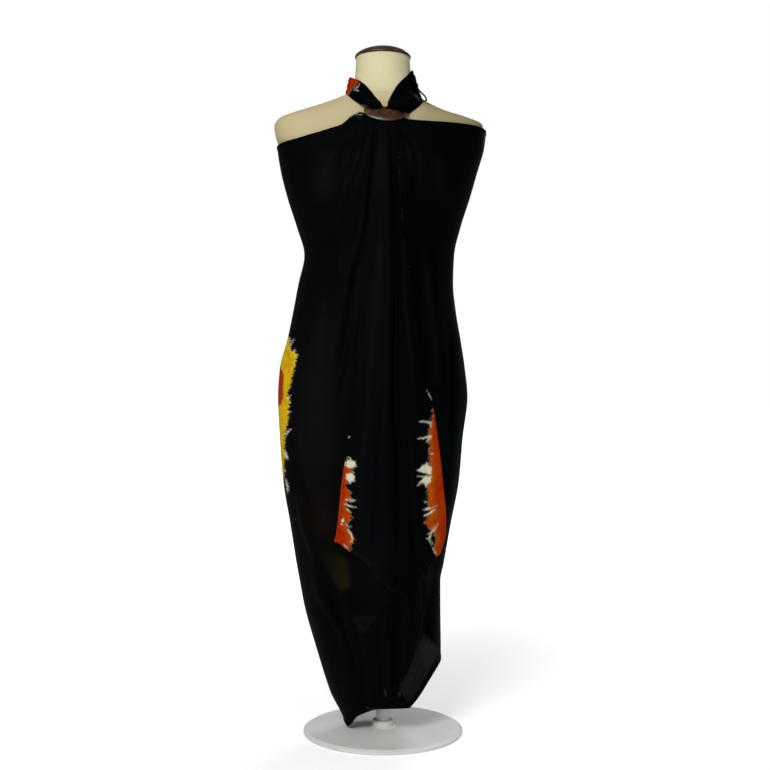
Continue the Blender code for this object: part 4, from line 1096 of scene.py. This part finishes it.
def onBuckle(across, up, out):
    return np.array(buckleFrame @ Vector((across, up, out)))


def lathe(name, profile, steps, material, scale=(1.0, 1.0)):
    # Closed shape turned round Z, with its profile running from the top down the outside
    radius = np.array([point[0] for point in profile])[:, None]
    height = np.array([point[1] for point in profile])[:, None]
    turn = 2.0 * np.pi * np.arange(steps) / steps
    ring = np.stack([radius * np.cos(turn) * scale[0], radius * np.sin(turn) * scale[1], height + 0.0 * turn], -1)
    return closedLoft(name, ring, material)


def closedLoft(name, rows, material):
    # Rings from the top down, with both ends closed onto a middle point
    count, steps = rows.shape[:2]
    points = rows.reshape(-1, 3)
    faces = gridFaces(count, steps, True).tolist()
    topPoint, footPoint = len(points), len(points) + 1
    points = np.vstack([points, rows[0].mean(axis=0), rows[-1].mean(axis=0)])
    last = (count - 1) * steps
    for k in range(steps):
        after = (k + 1) % steps
        faces.append((topPoint, k, after))
        faces.append((footPoint, last + after, last + k))
    return meshObject(name, points, faces, material)


def madeMesh(item):
    # Plain mesh of an object with its live modifiers
    bpy.context.view_layer.update()
    result = item.evaluated_get(bpy.context.evaluated_depsgraph_get())
    return bpy.data.meshes.new_from_object(result)


def settled(item):
    # Turns live modifiers into plain mesh and puts the place into the mesh
    mesh = madeMesh(item)
    mesh.transform(item.matrix_world)
    item.modifiers.clear()
    item.data = mesh
    item.matrix_world = Matrix.Identity(4)
    return item


def buildBuckle():
    look = buckleLook
    rim, dome, back = look["halfHeight"], look["dome"], look["back"]
    profile = smoothPath((
        (0.0006, dome), (rim * 0.30, dome * 0.96), (rim * 0.60, dome * 0.79), (rim * 0.82, dome * 0.50),
        (rim * 0.95, dome * 0.20), (rim * 1.0, -back * 0.15), (rim * 0.985, -back * 0.8), (rim * 0.94, -back),
        (rim * 0.50, -back), (0.0006, -back),
    ), 40)
    plate = lathe("buckleShell", profile, look["steps"], shell, (look["halfWidth"] / rim, 1.0))
    # The upper rim dips between the slots, where the throat shows
    for vertex in plate.data.vertices:
        if vertex.co.y > 0.0:
            share = (vertex.co.y / rim) ** 3
            vertex.co.y -= look["dip"] * share * math.exp(-((vertex.co.x / look["dipWidth"]) ** 2))
    plate.matrix_world = buckleFrame @ Matrix.Rotation(math.radians(look["roll"]), 4, "Z")
    wall = ((1.0, look["cutDepth"]), (1.0, -look["cutDepth"]))
    cutters = []
    for side in (-1.0, 1.0):
        cutter = lathe("slot", wall, look["slotSteps"], shell, (look["slotHalfWidth"], look["slotHalfHeight"]))
        cutter.matrix_world = buckleFrame @ Matrix.Translation((side * look["slotOffset"], look["slotRise"], 0.0))
        cut = plate.modifiers.new("slot", "BOOLEAN")
        cut.operation = "DIFFERENCE"
        cut.object = cutter
        cutters.append(cutter)
    soften = plate.modifiers.new("soften", "BEVEL")
    soften.width = look["bevel"]
    soften.segments = 2
    soften.limit_method = "ANGLE"
    soften.angle_limit = math.radians(look["bevelAngle"])
    plate = settled(plate)
    for cutter in cutters:
        bpy.data.objects.remove(cutter, do_unlink=True)
    plate.data.set_sharp_from_angle(angle=math.radians(look["sharpAngle"]))
    return ownPiece(plate, "shell", "buckle")


tailLook = {
    "columns": 52, "rows": 200, "wall": 0.0007, "hem": 0.0015, "clear": 0.0022, "puff": 0.0034, "formGap": 0.0016,
    # Front of the buckle: y at a height, and how much further back it is for each metre up
    "shellY": -0.1075, "shellHeight": 1.1470, "shellLean": 0.5543,
}
# Through the slot, in the buckle's own measure: up, out, across at the inner and the outer edge
leftLead = ((-0.0010, -0.0040, -0.0050, -0.0240), (0.0050, -0.0030, -0.0042, -0.0250),
            (0.0086, 0.0004, -0.0036, -0.0256), (0.0098, 0.0040, -0.0032, -0.0258))
rightLead = ((-0.0010, -0.0040, 0.0060, 0.0240), (0.0050, -0.0030, 0.0054, 0.0262), (0.0086, 0.0006, 0.0048, 0.0280),
             (0.0092, 0.0044, 0.0046, 0.0292))
# Seen from the front, in metres: x and z of the upper edge, x and z of the lower edge
leftFront = ((-0.0042, 1.1634, -0.0288, 1.1571), (-0.0122, 1.1768, -0.0385, 1.1615),
             (-0.0218, 1.1909, -0.0464, 1.1668), (-0.0334, 1.2076, -0.0530, 1.1725),
             (-0.0455, 1.2212, -0.0600, 1.1800), (-0.0552, 1.2322, -0.0662, 1.1890))
rightFront = ((0.0085, 1.1583, 0.0346, 1.1451), (0.0091, 1.1644, 0.0418, 1.1432), (0.0114, 1.1726, 0.0491, 1.1465),
              (0.0162, 1.1844, 0.0560, 1.1524), (0.0244, 1.2015, 0.0634, 1.1593), (0.0341, 1.2162, 0.0698, 1.1670),
              (0.0444, 1.2294, 0.0727, 1.1770))
leftTurns = (-88.0, -104.0, -114.0, -124.0, -140.0, -152.0, -163.0)
rightTurns = (76.0, 90.0, 106.0, 122.0, 138.0, 152.0, 163.0)


def restPlace(x, z, off):
    # On the form, or in front of the buckle where the cloth passes over it
    section = sectionAt(formSections, z)
    place = formSurface(angleOf(section, x), z, off)
    look = tailLook
    shellFace = look["shellY"] - look["clear"] + look["shellLean"] * (z - look["shellHeight"])
    over = smoothStep((1.176 - z) / 0.016) * smoothStep((0.046 - np.abs(x - buckleLook["centre"][0])) / 0.010)
    ahead = np.minimum(place[..., 1], shellFace)
    return np.stack([x + 0.0 * z, place[..., 1] * (1.0 - over) + ahead * over, z + 0.0 * x], -1)


# How far the upper and the lower edge stand off the sides of the neck, by the angle
tailSwell = (
    (-180.0, 0.0, 0.0), (-140.0, 0.0, 0.0), (-124.0, 0.0020, 0.0008), (-104.0, 0.0050, 0.0020), (-88.0, 0.0056, 0.0020),
    (-60.0, 0.0, 0.0), (60.0, 0.0, 0.0), (76.0, 0.0, 0.0036), (90.0, 0.0, 0.0044), (106.0, 0.0, 0.0030),
    (124.0, 0.0, 0.0010), (140.0, 0.0, 0.0), (180.0, 0.0, 0.0),
)


def clearForm(points, gap):
    # Keeps the cloth just outside the form
    x, y, z = points[..., 0], points[..., 1], points[..., 2]
    reach = sectionPoint(sectionAt(formSections, z), np.arctan2(x, -y))[4]
    here = np.maximum(np.hypot(x, y), 1e-6)
    scale = 1.0 + np.clip(reach + gap - here, 0.0, 0.006) / here
    return np.stack([x * scale, y * scale, z], -1)


def tailControl(table, lead, front, turns):
    share = np.linspace(0.0, 1.0, tailLook["columns"])
    puff = tailLook["puff"] * np.sin(np.pi * share) ** 0.8
    rows = []
    for up, out, inner, outer in lead:
        rows.append(np.array([onBuckle(inner + (outer - inner) * s, up, out) for s in share]))
    for x0, z0, x1, z1 in front:
        rows.append(restPlace(x0 + (x1 - x0) * share, z0 + (z1 - z0) * share, tailLook["clear"] + puff))
    for degrees in turns:
        low, high, off = (readTable(table, column, np.full(1, degrees)) for column in (1, 2, 3))
        shut = smoothStep((abs(degrees) - 120.0) / 40.0)
        swellHigh, swellLow = (readTable(tailSwell, column, np.full(1, degrees)) for column in (1, 2))
        off = off + swellHigh + (swellLow - swellHigh) * share
        rows.append(formSurface(np.radians(degrees), high + (low - high) * share, off + puff * (1.0 - 0.7 * shut)))
    return np.array(rows)


def tailShape(control, pleats):
    # Spaces the rows evenly and gathers the cloth into long folds
    across = np.linspace(0.0, 1.0, control.shape[1])
    points = smoothPath(control, tailLook["rows"])
    along = np.linspace(0.0, 1.0, tailLook["rows"])[:, None]
    lift = np.zeros(points.shape[:2])
    for place, drift, width, height, start, finish in pleats:
        line = place + drift * along
        fade = smoothStep((along - start) / 0.12) * smoothStep((finish - along) / 0.12)
        lift += height * fade * np.exp(-(((across[None, :] - line) / width) ** 2))
    return points + gridNormals(points) * lift[..., None]


leftPleats = (
    (0.16, 0.10, 0.070, 0.0009, 0.22, 1.0), (0.36, 0.02, 0.050, -0.0007, 0.26, 0.95),
    (0.55, -0.08, 0.060, 0.0008, 0.24, 1.0), (0.74, 0.06, 0.050, -0.0008, 0.26, 1.0),
    (0.86, -0.04, 0.050, 0.0007, 0.30, 1.0), (0.26, 0.12, 0.035, 0.0006, 0.55, 1.0),
)
rightPleats = (
    (0.14, 0.08, 0.060, 0.0008, 0.30, 1.0), (0.32, -0.04, 0.050, -0.0006, 0.34, 1.0),
    (0.50, 0.08, 0.060, 0.0008, 0.36, 0.98), (0.68, 0.00, 0.050, -0.0006, 0.38, 1.0),
    (0.84, -0.06, 0.050, 0.0007, 0.40, 1.0), (0.58, -0.10, 0.030, 0.0005, 0.60, 1.0),
)
# Dyed corner of the left tail, seen from the front, in metres
tailDye = ((-0.0900, 1.2400), (-0.0440, 1.2300), (-0.0448, 1.2210), (-0.0452, 1.2155), (-0.0478, 1.2120),
           (-0.0530, 1.2085), (-0.0590, 1.2055), (-0.0612, 1.2000), (-0.0622, 1.1900), (-0.0660, 1.1840),
           (-0.0900, 1.1800))


def tailMarks(points, dyed):
    marks = noMarks()
    if not dyed:
        return marks
    x, y, z = points[..., 0], points[..., 1], points[..., 2]
    front = cornersDistance(x, z, tailDye)
    behind = (0.030 - y) + 0.006 * np.sin(z * 700.0)
    marks["dyeColour"] = np.where(y < -0.015, front, behind)
    marks["dyeWhiteAndHighlight"] = np.where(y < -0.015, strokeDistance(tailWhite, x, z), -1.0)
    marks["dyeHue"] = 0.04
    return marks


loopLook = {
    "radius": 0.00150, "rings": 60, "steps": 8,
    "path": ((0.0620, -0.0430, 1.2060), (0.0658, -0.0500, 1.1985), (0.0716, -0.0560, 1.1906),
             (0.0765, -0.0600, 1.1846), (0.0793, -0.0660, 1.1780),
             (0.0790, -0.0680, 1.1738), (0.0725, -0.0640, 1.1735)),
}


def threadLoop():
    # Loose thread at the side of the right tail, as a thin tube
    look = loopLook
    path = smoothPath(look["path"], look["rings"])
    ahead = np.gradient(path, axis=0)
    ahead /= np.linalg.norm(ahead, axis=1, keepdims=True)
    side = np.cross(ahead, np.array([0.0, 1.0, 0.0]))
    side /= np.linalg.norm(side, axis=1, keepdims=True)
    rise = np.cross(side, ahead)
    turn = (2.0 * np.pi * np.arange(look["steps"]) / look["steps"])[:, None]
    rings = path[:, None] + look["radius"] * (side[:, None] * np.cos(turn) + rise[:, None] * np.sin(turn))
    loop = closedLoft("threadLoop", rings, paintedShadeRayon)
    keepUndyed(loop.data)
    return ownPiece(loop, "cloth")


def buildTail(name, table, lead, front, turns, pleats, node, dyed):
    points = clearForm(tailShape(tailControl(table, lead, front, turns), pleats), tailLook["formGap"])
    if dyed:
        points = points[:, ::-1]
    wall = edgeWall(points, ("left", "right"), tailLook)
    cloth = clothSheet(name, points, False, wall, paintedShadeRayon, tailMarks(points, dyed))
    return ownPiece(cloth, "cloth", node)


# The knot behind the neck and its ends

knotLook = {
    "centre": (0.0, 0.0683, 1.2275), "radii": (0.0185, 0.0120, 0.0150), "turn": 18.0, "steps": 120, "rings": 84,
    # Half width of the band that crosses over, and place and width of the groove beside it, in radii
    "bandWidth": 0.36, "groove": 0.44, "grooveWidth": 0.07,
}


def buildKnot():
    # Rounded knot: a band crosses over the middle, with folds that run round it
    look = knotLook
    lat = np.linspace(0.02, np.pi - 0.02, look["rings"])[:, None]
    lon = (2.0 * np.pi * np.arange(look["steps"]) / look["steps"])[None, :]
    away = np.stack([np.sin(lat) * np.cos(lon), np.sin(lat) * np.sin(lon), np.cos(lat) + 0.0 * lon], -1)
    swirl = away[..., 0] * 0.85 + away[..., 2] * 0.55
    lift = 0.030 * np.cos(swirl * 15.0) + 0.018 * np.cos(away[..., 2] * 23.0 + away[..., 0] * 9.0)
    beside = away[..., 0] - 0.30 * away[..., 2]
    band = np.exp(-((beside / look["bandWidth"]) ** 4))
    lift += 0.105 * band + 0.022 * band * np.cos(away[..., 2] * 4.0 + away[..., 0] * 26.0)
    edge = np.exp(-(((np.abs(beside) - look["groove"]) / look["grooveWidth"]) ** 2))
    lift -= 0.085 * edge
    points = away * (0.93 + lift)[..., None] * np.array(look["radii"])
    turn = np.array(Matrix.Rotation(math.radians(look["turn"]), 3, "Y"))
    points = points @ turn.T + np.array(look["centre"])
    knot = closedLoft("napeKnot", points, paintedShadeRayon)
    flat = np.array([v.co for v in knot.data.vertices])[:, (0, 2)]
    keepFlow(knot.data, flat[cornerPoints(knot.data)])
    keepUndyed(knot.data)
    return ownPiece(knot, "cloth", "nape_knot")


endLook = {"columns": 34, "rows": 60, "off": 0.0030, "pleat": 0.0010, "wall": 0.0007, "hem": 0.0015}


def buildEnd(name, table, side, node):
    look = endLook
    top, foot = table[0][0], table[-1][0]
    across = edgedShares(0.02, look["columns"], True, True)[None, :]
    down = edgedShares(0.08, look["rows"], False, True)[:, None]
    height = top + (foot - top) * down + 0.0 * across
    inner = readTable(table, 1, height)
    outer = readTable(table, 2, height)
    degrees = inner + (outer - inner) * across
    spread = 0.4 + 0.6 * smoothStep(down * 1.6)
    wave = np.cos(across * 15.0 + 0.7 * side + down * 1.2) * (0.7 + 0.3 * np.cos(across * 6.0 + 1.0))
    points = formSurface(np.radians(degrees), height, look["off"] + look["pleat"] * wave * spread)
    if side > 0:
        points = points[:, ::-1]
    wall = edgeWall(points, ("left", "right", "foot"), look)
    cloth = clothSheet(name, points, False, wall, rayon, noMarks())
    return ownPiece(cloth, "cloth", node)


# The dress form and its stand

formLook = {
    "columns": 128, "rows": 150, "neckSeam": 1.1900, "neckTilt": 0.16, "neckY": -0.06, "farSeam": 0.02,
    # Seams of the shoulders and sides: their y, the height where they part, and where they start across
    "sideY": 0.004, "underArm": 1.10, "shoulderX": 0.055, "sideX": 0.06,
}


def buildForm():
    look = formLook
    heights = np.array([row[0] for row in formSections])
    spaced = smoothPath([(h, 0.0) for h in heights], look["rows"])[:, 0]
    height = np.sort(spaced)[::-1][:, None]
    turn = (2.0 * np.pi * np.arange(look["columns"]) / look["columns"])[None, :]
    points = formSurface(turn + 0.0 * height, height + 0.0 * turn)
    body = closedLoft("formCover", points, linen)
    x, y, z = np.array([v.co for v in body.data.vertices]).T
    collar = z - (look["neckSeam"] + look["neckTilt"] * (y - look["neckY"]))
    collar = np.where(np.abs(collar) > look["farSeam"], look["farSeam"] * np.sign(collar), collar)
    shoulder = np.where((z > look["underArm"]) & (np.abs(x) > look["shoulderX"]), y - look["sideY"], 1.0)
    spine = np.where(y > 0.0, x, 1.0)
    under = np.where((z < look["underArm"]) & (np.abs(x) > look["sideX"]), y - look["sideY"], 1.0)
    distance = collar
    for other in (shoulder, spine, under):
        distance = np.where(np.abs(other) < np.abs(distance), other, distance)
    keepMark(body.data, "seamDistance", distance)
    return ownPiece(body, "linen", "form")


capLook = {"foot": 1.2703, "high": 0.0200, "wide": 0.0530, "rings": 60, "steps": 128}


def buildCap():
    foot, high, wide = capLook["foot"], capLook["high"], capLook["wide"]
    profile = smoothPath((
        (0.0006, foot + high), (wide * 0.34, foot + high * 0.93), (wide * 0.62, foot + high * 0.76),
        (wide * 0.86, foot + high * 0.48), (wide * 0.975, foot + high * 0.24), (wide, foot + high * 0.10),
        (wide * 0.985, foot + 0.0002), (wide * 0.90, foot), (wide * 0.40, foot), (0.0006, foot),
    ), capLook["rings"])
    return ownPiece(lathe("neckCapWood", profile, capLook["steps"], wood), "wood", "neck_cap")


def paintStand():
    for name in ("pole", "base"):
        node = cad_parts[name]
        node.data.materials.clear()
        node.data.materials.append(paint)
        for face in node.data.polygons:
            face.material_index = 0


# Hem stitches, placed along their lines by Geometry Nodes

stitchLook = {"Spacing": 0.0036, "Stitch Length": 0.0021, "Stitch Radius": 0.00024, "Seed": 7}


def stitchTree():
    tree = bpy.data.node_groups.new("hemStitches", "GeometryNodeTree")
    face = tree.interface
    face.new_socket("Geometry", in_out="INPUT", socket_type="NodeSocketGeometry")
    face.new_socket("Geometry", in_out="OUTPUT", socket_type="NodeSocketGeometry")
    sizes = {}
    for label in ("Spacing", "Stitch Length", "Stitch Radius"):
        sizes[label] = face.new_socket(label, in_out="INPUT", socket_type="NodeSocketFloat")
    sizes["Seed"] = face.new_socket("Seed", in_out="INPUT", socket_type="NodeSocketInt")
    make, link = tree.nodes.new, tree.links.new
    given = make("NodeGroupInput")
    result = make("NodeGroupOutput")
    spread = make("GeometryNodeCurveToPoints")
    spread.mode = "LENGTH"
    link(given.outputs["Geometry"], spread.inputs["Curve"])
    link(given.outputs["Spacing"], spread.inputs["Length"])
    thread = make("GeometryNodeMeshCylinder")
    thread.inputs["Vertices"].default_value = 6
    link(given.outputs["Stitch Length"], thread.inputs["Depth"])
    link(given.outputs["Stitch Radius"], thread.inputs["Radius"])
    aim = make("FunctionNodeAlignRotationToVector")
    aim.axis = "Z"
    link(spread.outputs["Tangent"], aim.inputs["Vector"])
    uneven = make("FunctionNodeRandomValue")
    uneven.data_type = "FLOAT"
    uneven.inputs[2].default_value = 0.85
    uneven.inputs[3].default_value = 1.12
    link(given.outputs["Seed"], uneven.inputs["Seed"])
    place = make("GeometryNodeInstanceOnPoints")
    link(spread.outputs["Points"], place.inputs["Points"])
    link(thread.outputs["Mesh"], place.inputs["Instance"])
    link(aim.outputs["Rotation"], place.inputs["Rotation"])
    link(uneven.outputs[1], place.inputs["Scale"])
    real = make("GeometryNodeRealizeInstances")
    link(place.outputs["Instances"], real.inputs["Geometry"])
    finish = make("GeometryNodeSetMaterial")
    finish.inputs["Material"].default_value = rayon
    link(real.outputs["Geometry"], finish.inputs["Geometry"])
    link(finish.outputs["Geometry"], result.inputs["Geometry"])
    return tree, sizes


def buildStitches():
    curve = bpy.data.curves.new("hemStitches", "CURVE")
    curve.dimensions = "3D"
    for points in stitchLines:
        spline = curve.splines.new("POLY")
        spline.points.add(len(points) - 1)
        spline.points.foreach_set("co", np.concatenate([points, np.ones((len(points), 1))], axis=1).ravel())
    path = bpy.data.objects.new("stitchPaths", curve)
    bpy.context.scene.collection.objects.link(path)
    tree, sizes = stitchTree()
    holder = path.modifiers.new("stitches", "NODES")
    holder.node_group = tree
    for label, socket in sizes.items():
        holder[socket.identifier] = stitchLook[label]
    mesh = madeMesh(path)
    bpy.data.objects.remove(path, do_unlink=True)
    mesh.shade_smooth()
    item = bpy.data.objects.new("hemStitches", mesh)
    bpy.context.scene.collection.objects.link(item)
    keepUndyed(mesh)
    print("hem stitches, faces", len(mesh.polygons))
    return ownPiece(item, "cloth")


wrapPiece = buildWrap()
fallLeftPiece, fallRightPiece = buildFalls()
cornerPiece = buildCorner()
buildBuckle()
tailLeftPiece = buildTail(
    "tailLeftCloth", leftTail, leftLead, leftFront, leftTurns, leftPleats, "tail_left", True)
tailRightPiece = buildTail(
    "tailRightCloth", rightTail, rightLead, rightFront, rightTurns, rightPleats, "tail_right", False)
loopPiece = threadLoop()
knotPiece = buildKnot()
endLeftPiece = buildEnd("knotEndLeftCloth", leftEnd, -1.0, "knot_end_left")
endRightPiece = buildEnd("knotEndRightCloth", rightEnd, 1.0, "knot_end_right")
buildForm()
buildCap()
paintStand()
stitchPiece = buildStitches()
print("pieces made")


def makeCamera():
    data = bpy.data.cameras.new("photoView")
    data.sensor_width = 36.0
    data.lens = 54.42
    camera = bpy.data.objects.new("photoView", data)
    camera.location = (0.0038, -2.2, 0.653)
    camera.rotation_euler = (math.radians(90.0), 0.0, 0.0)
    bpy.context.scene.collection.objects.link(camera)
    bpy.context.scene.camera = camera


def makeStage():
    # Plain pale floor that also glows a little, so that it stays even round the stand
    material, tree, shader = newMaterial("studioFloor", 0.9, 0.1)
    place = addNode(tree, "TexCoord").outputs["Object"]
    speck = scaledNoise(tree, place, (3.0, 3.0, 3.0), 2.0, 0.5)
    colour = mixColour(tree, speck, (0.90, 0.90, 0.90, 1.0), (0.93, 0.93, 0.93, 1.0))
    tree.links.new(colour, shader.inputs["Base Color"])
    shader.inputs["Emission Color"].default_value = (1.0, 1.0, 1.0, 1.0)
    seen = addNode(tree, "LightPath").outputs["Is Camera Ray"]
    away = addNode(tree, "VectorMath", {0: place}, operation="LENGTH").outputs["Value"]
    glow = mathNode(tree, "MULTIPLY", rangeNode(tree, away, 0.2, 3.0, 0.42, 1.0), seen)
    tree.links.new(glow, shader.inputs["Emission Strength"])
    # Just under the base, and far wider than the view
    size, level = 30.0, -0.0004
    points = [(-size, -size, level), (size, -size, level), (size, size, level), (-size, size, level)]
    floor = meshObject("studioFloor", points, [(0, 1, 2, 3)], material, False)


def makeLight(name, place, target, size, power, colour):
    data = bpy.data.lights.new(name, "AREA")
    data.shape = "DISK"
    data.size = size
    data.energy = power
    data.color = colour
    lamp = bpy.data.objects.new(name, data)
    lamp.location = place
    aim = Vector(target) - Vector(place)
    lamp.rotation_euler = aim.to_track_quat("-Z", "Y").to_euler()
    bpy.context.scene.collection.objects.link(lamp)


def makeLights():
    makeLight("keyLight", (-0.90, -2.60, 2.3), (0.0, 0.0, 0.9), 1.3, 63.0, (1.0, 0.99, 0.96))
    makeLight("fillLight", (1.8, -2.2, 1.2), (0.0, 0.0, 0.8), 1.6, 3.5, (1.0, 0.98, 0.95))
    makeLight("backLight", (0.9, 2.4, 2.2), (0.0, 0.0, 0.9), 1.2, 26.0, (1.0, 1.0, 1.0))
    world = bpy.data.worlds.new("studio")
    world.use_nodes = True
    bpy.context.scene.world = world
    tree = world.node_tree
    ground = tree.nodes["Background"]
    ground.inputs["Color"].default_value = (1.0, 1.0, 1.0, 1.0)
    ray = tree.nodes.new("ShaderNodeLightPath")
    blend = tree.nodes.new("ShaderNodeMapRange")
    blend.inputs["To Min"].default_value = 0.24
    blend.inputs["To Max"].default_value = 1.0
    tree.links.new(ray.outputs["Is Camera Ray"], blend.inputs["Value"])
    tree.links.new(blend.outputs["Result"], ground.inputs["Strength"])
    bpy.context.scene.view_settings.view_transform = "Standard"
    bpy.context.scene.view_settings.look = "None"


makeCamera()
makeStage()
makeLights()

print("scene ready")
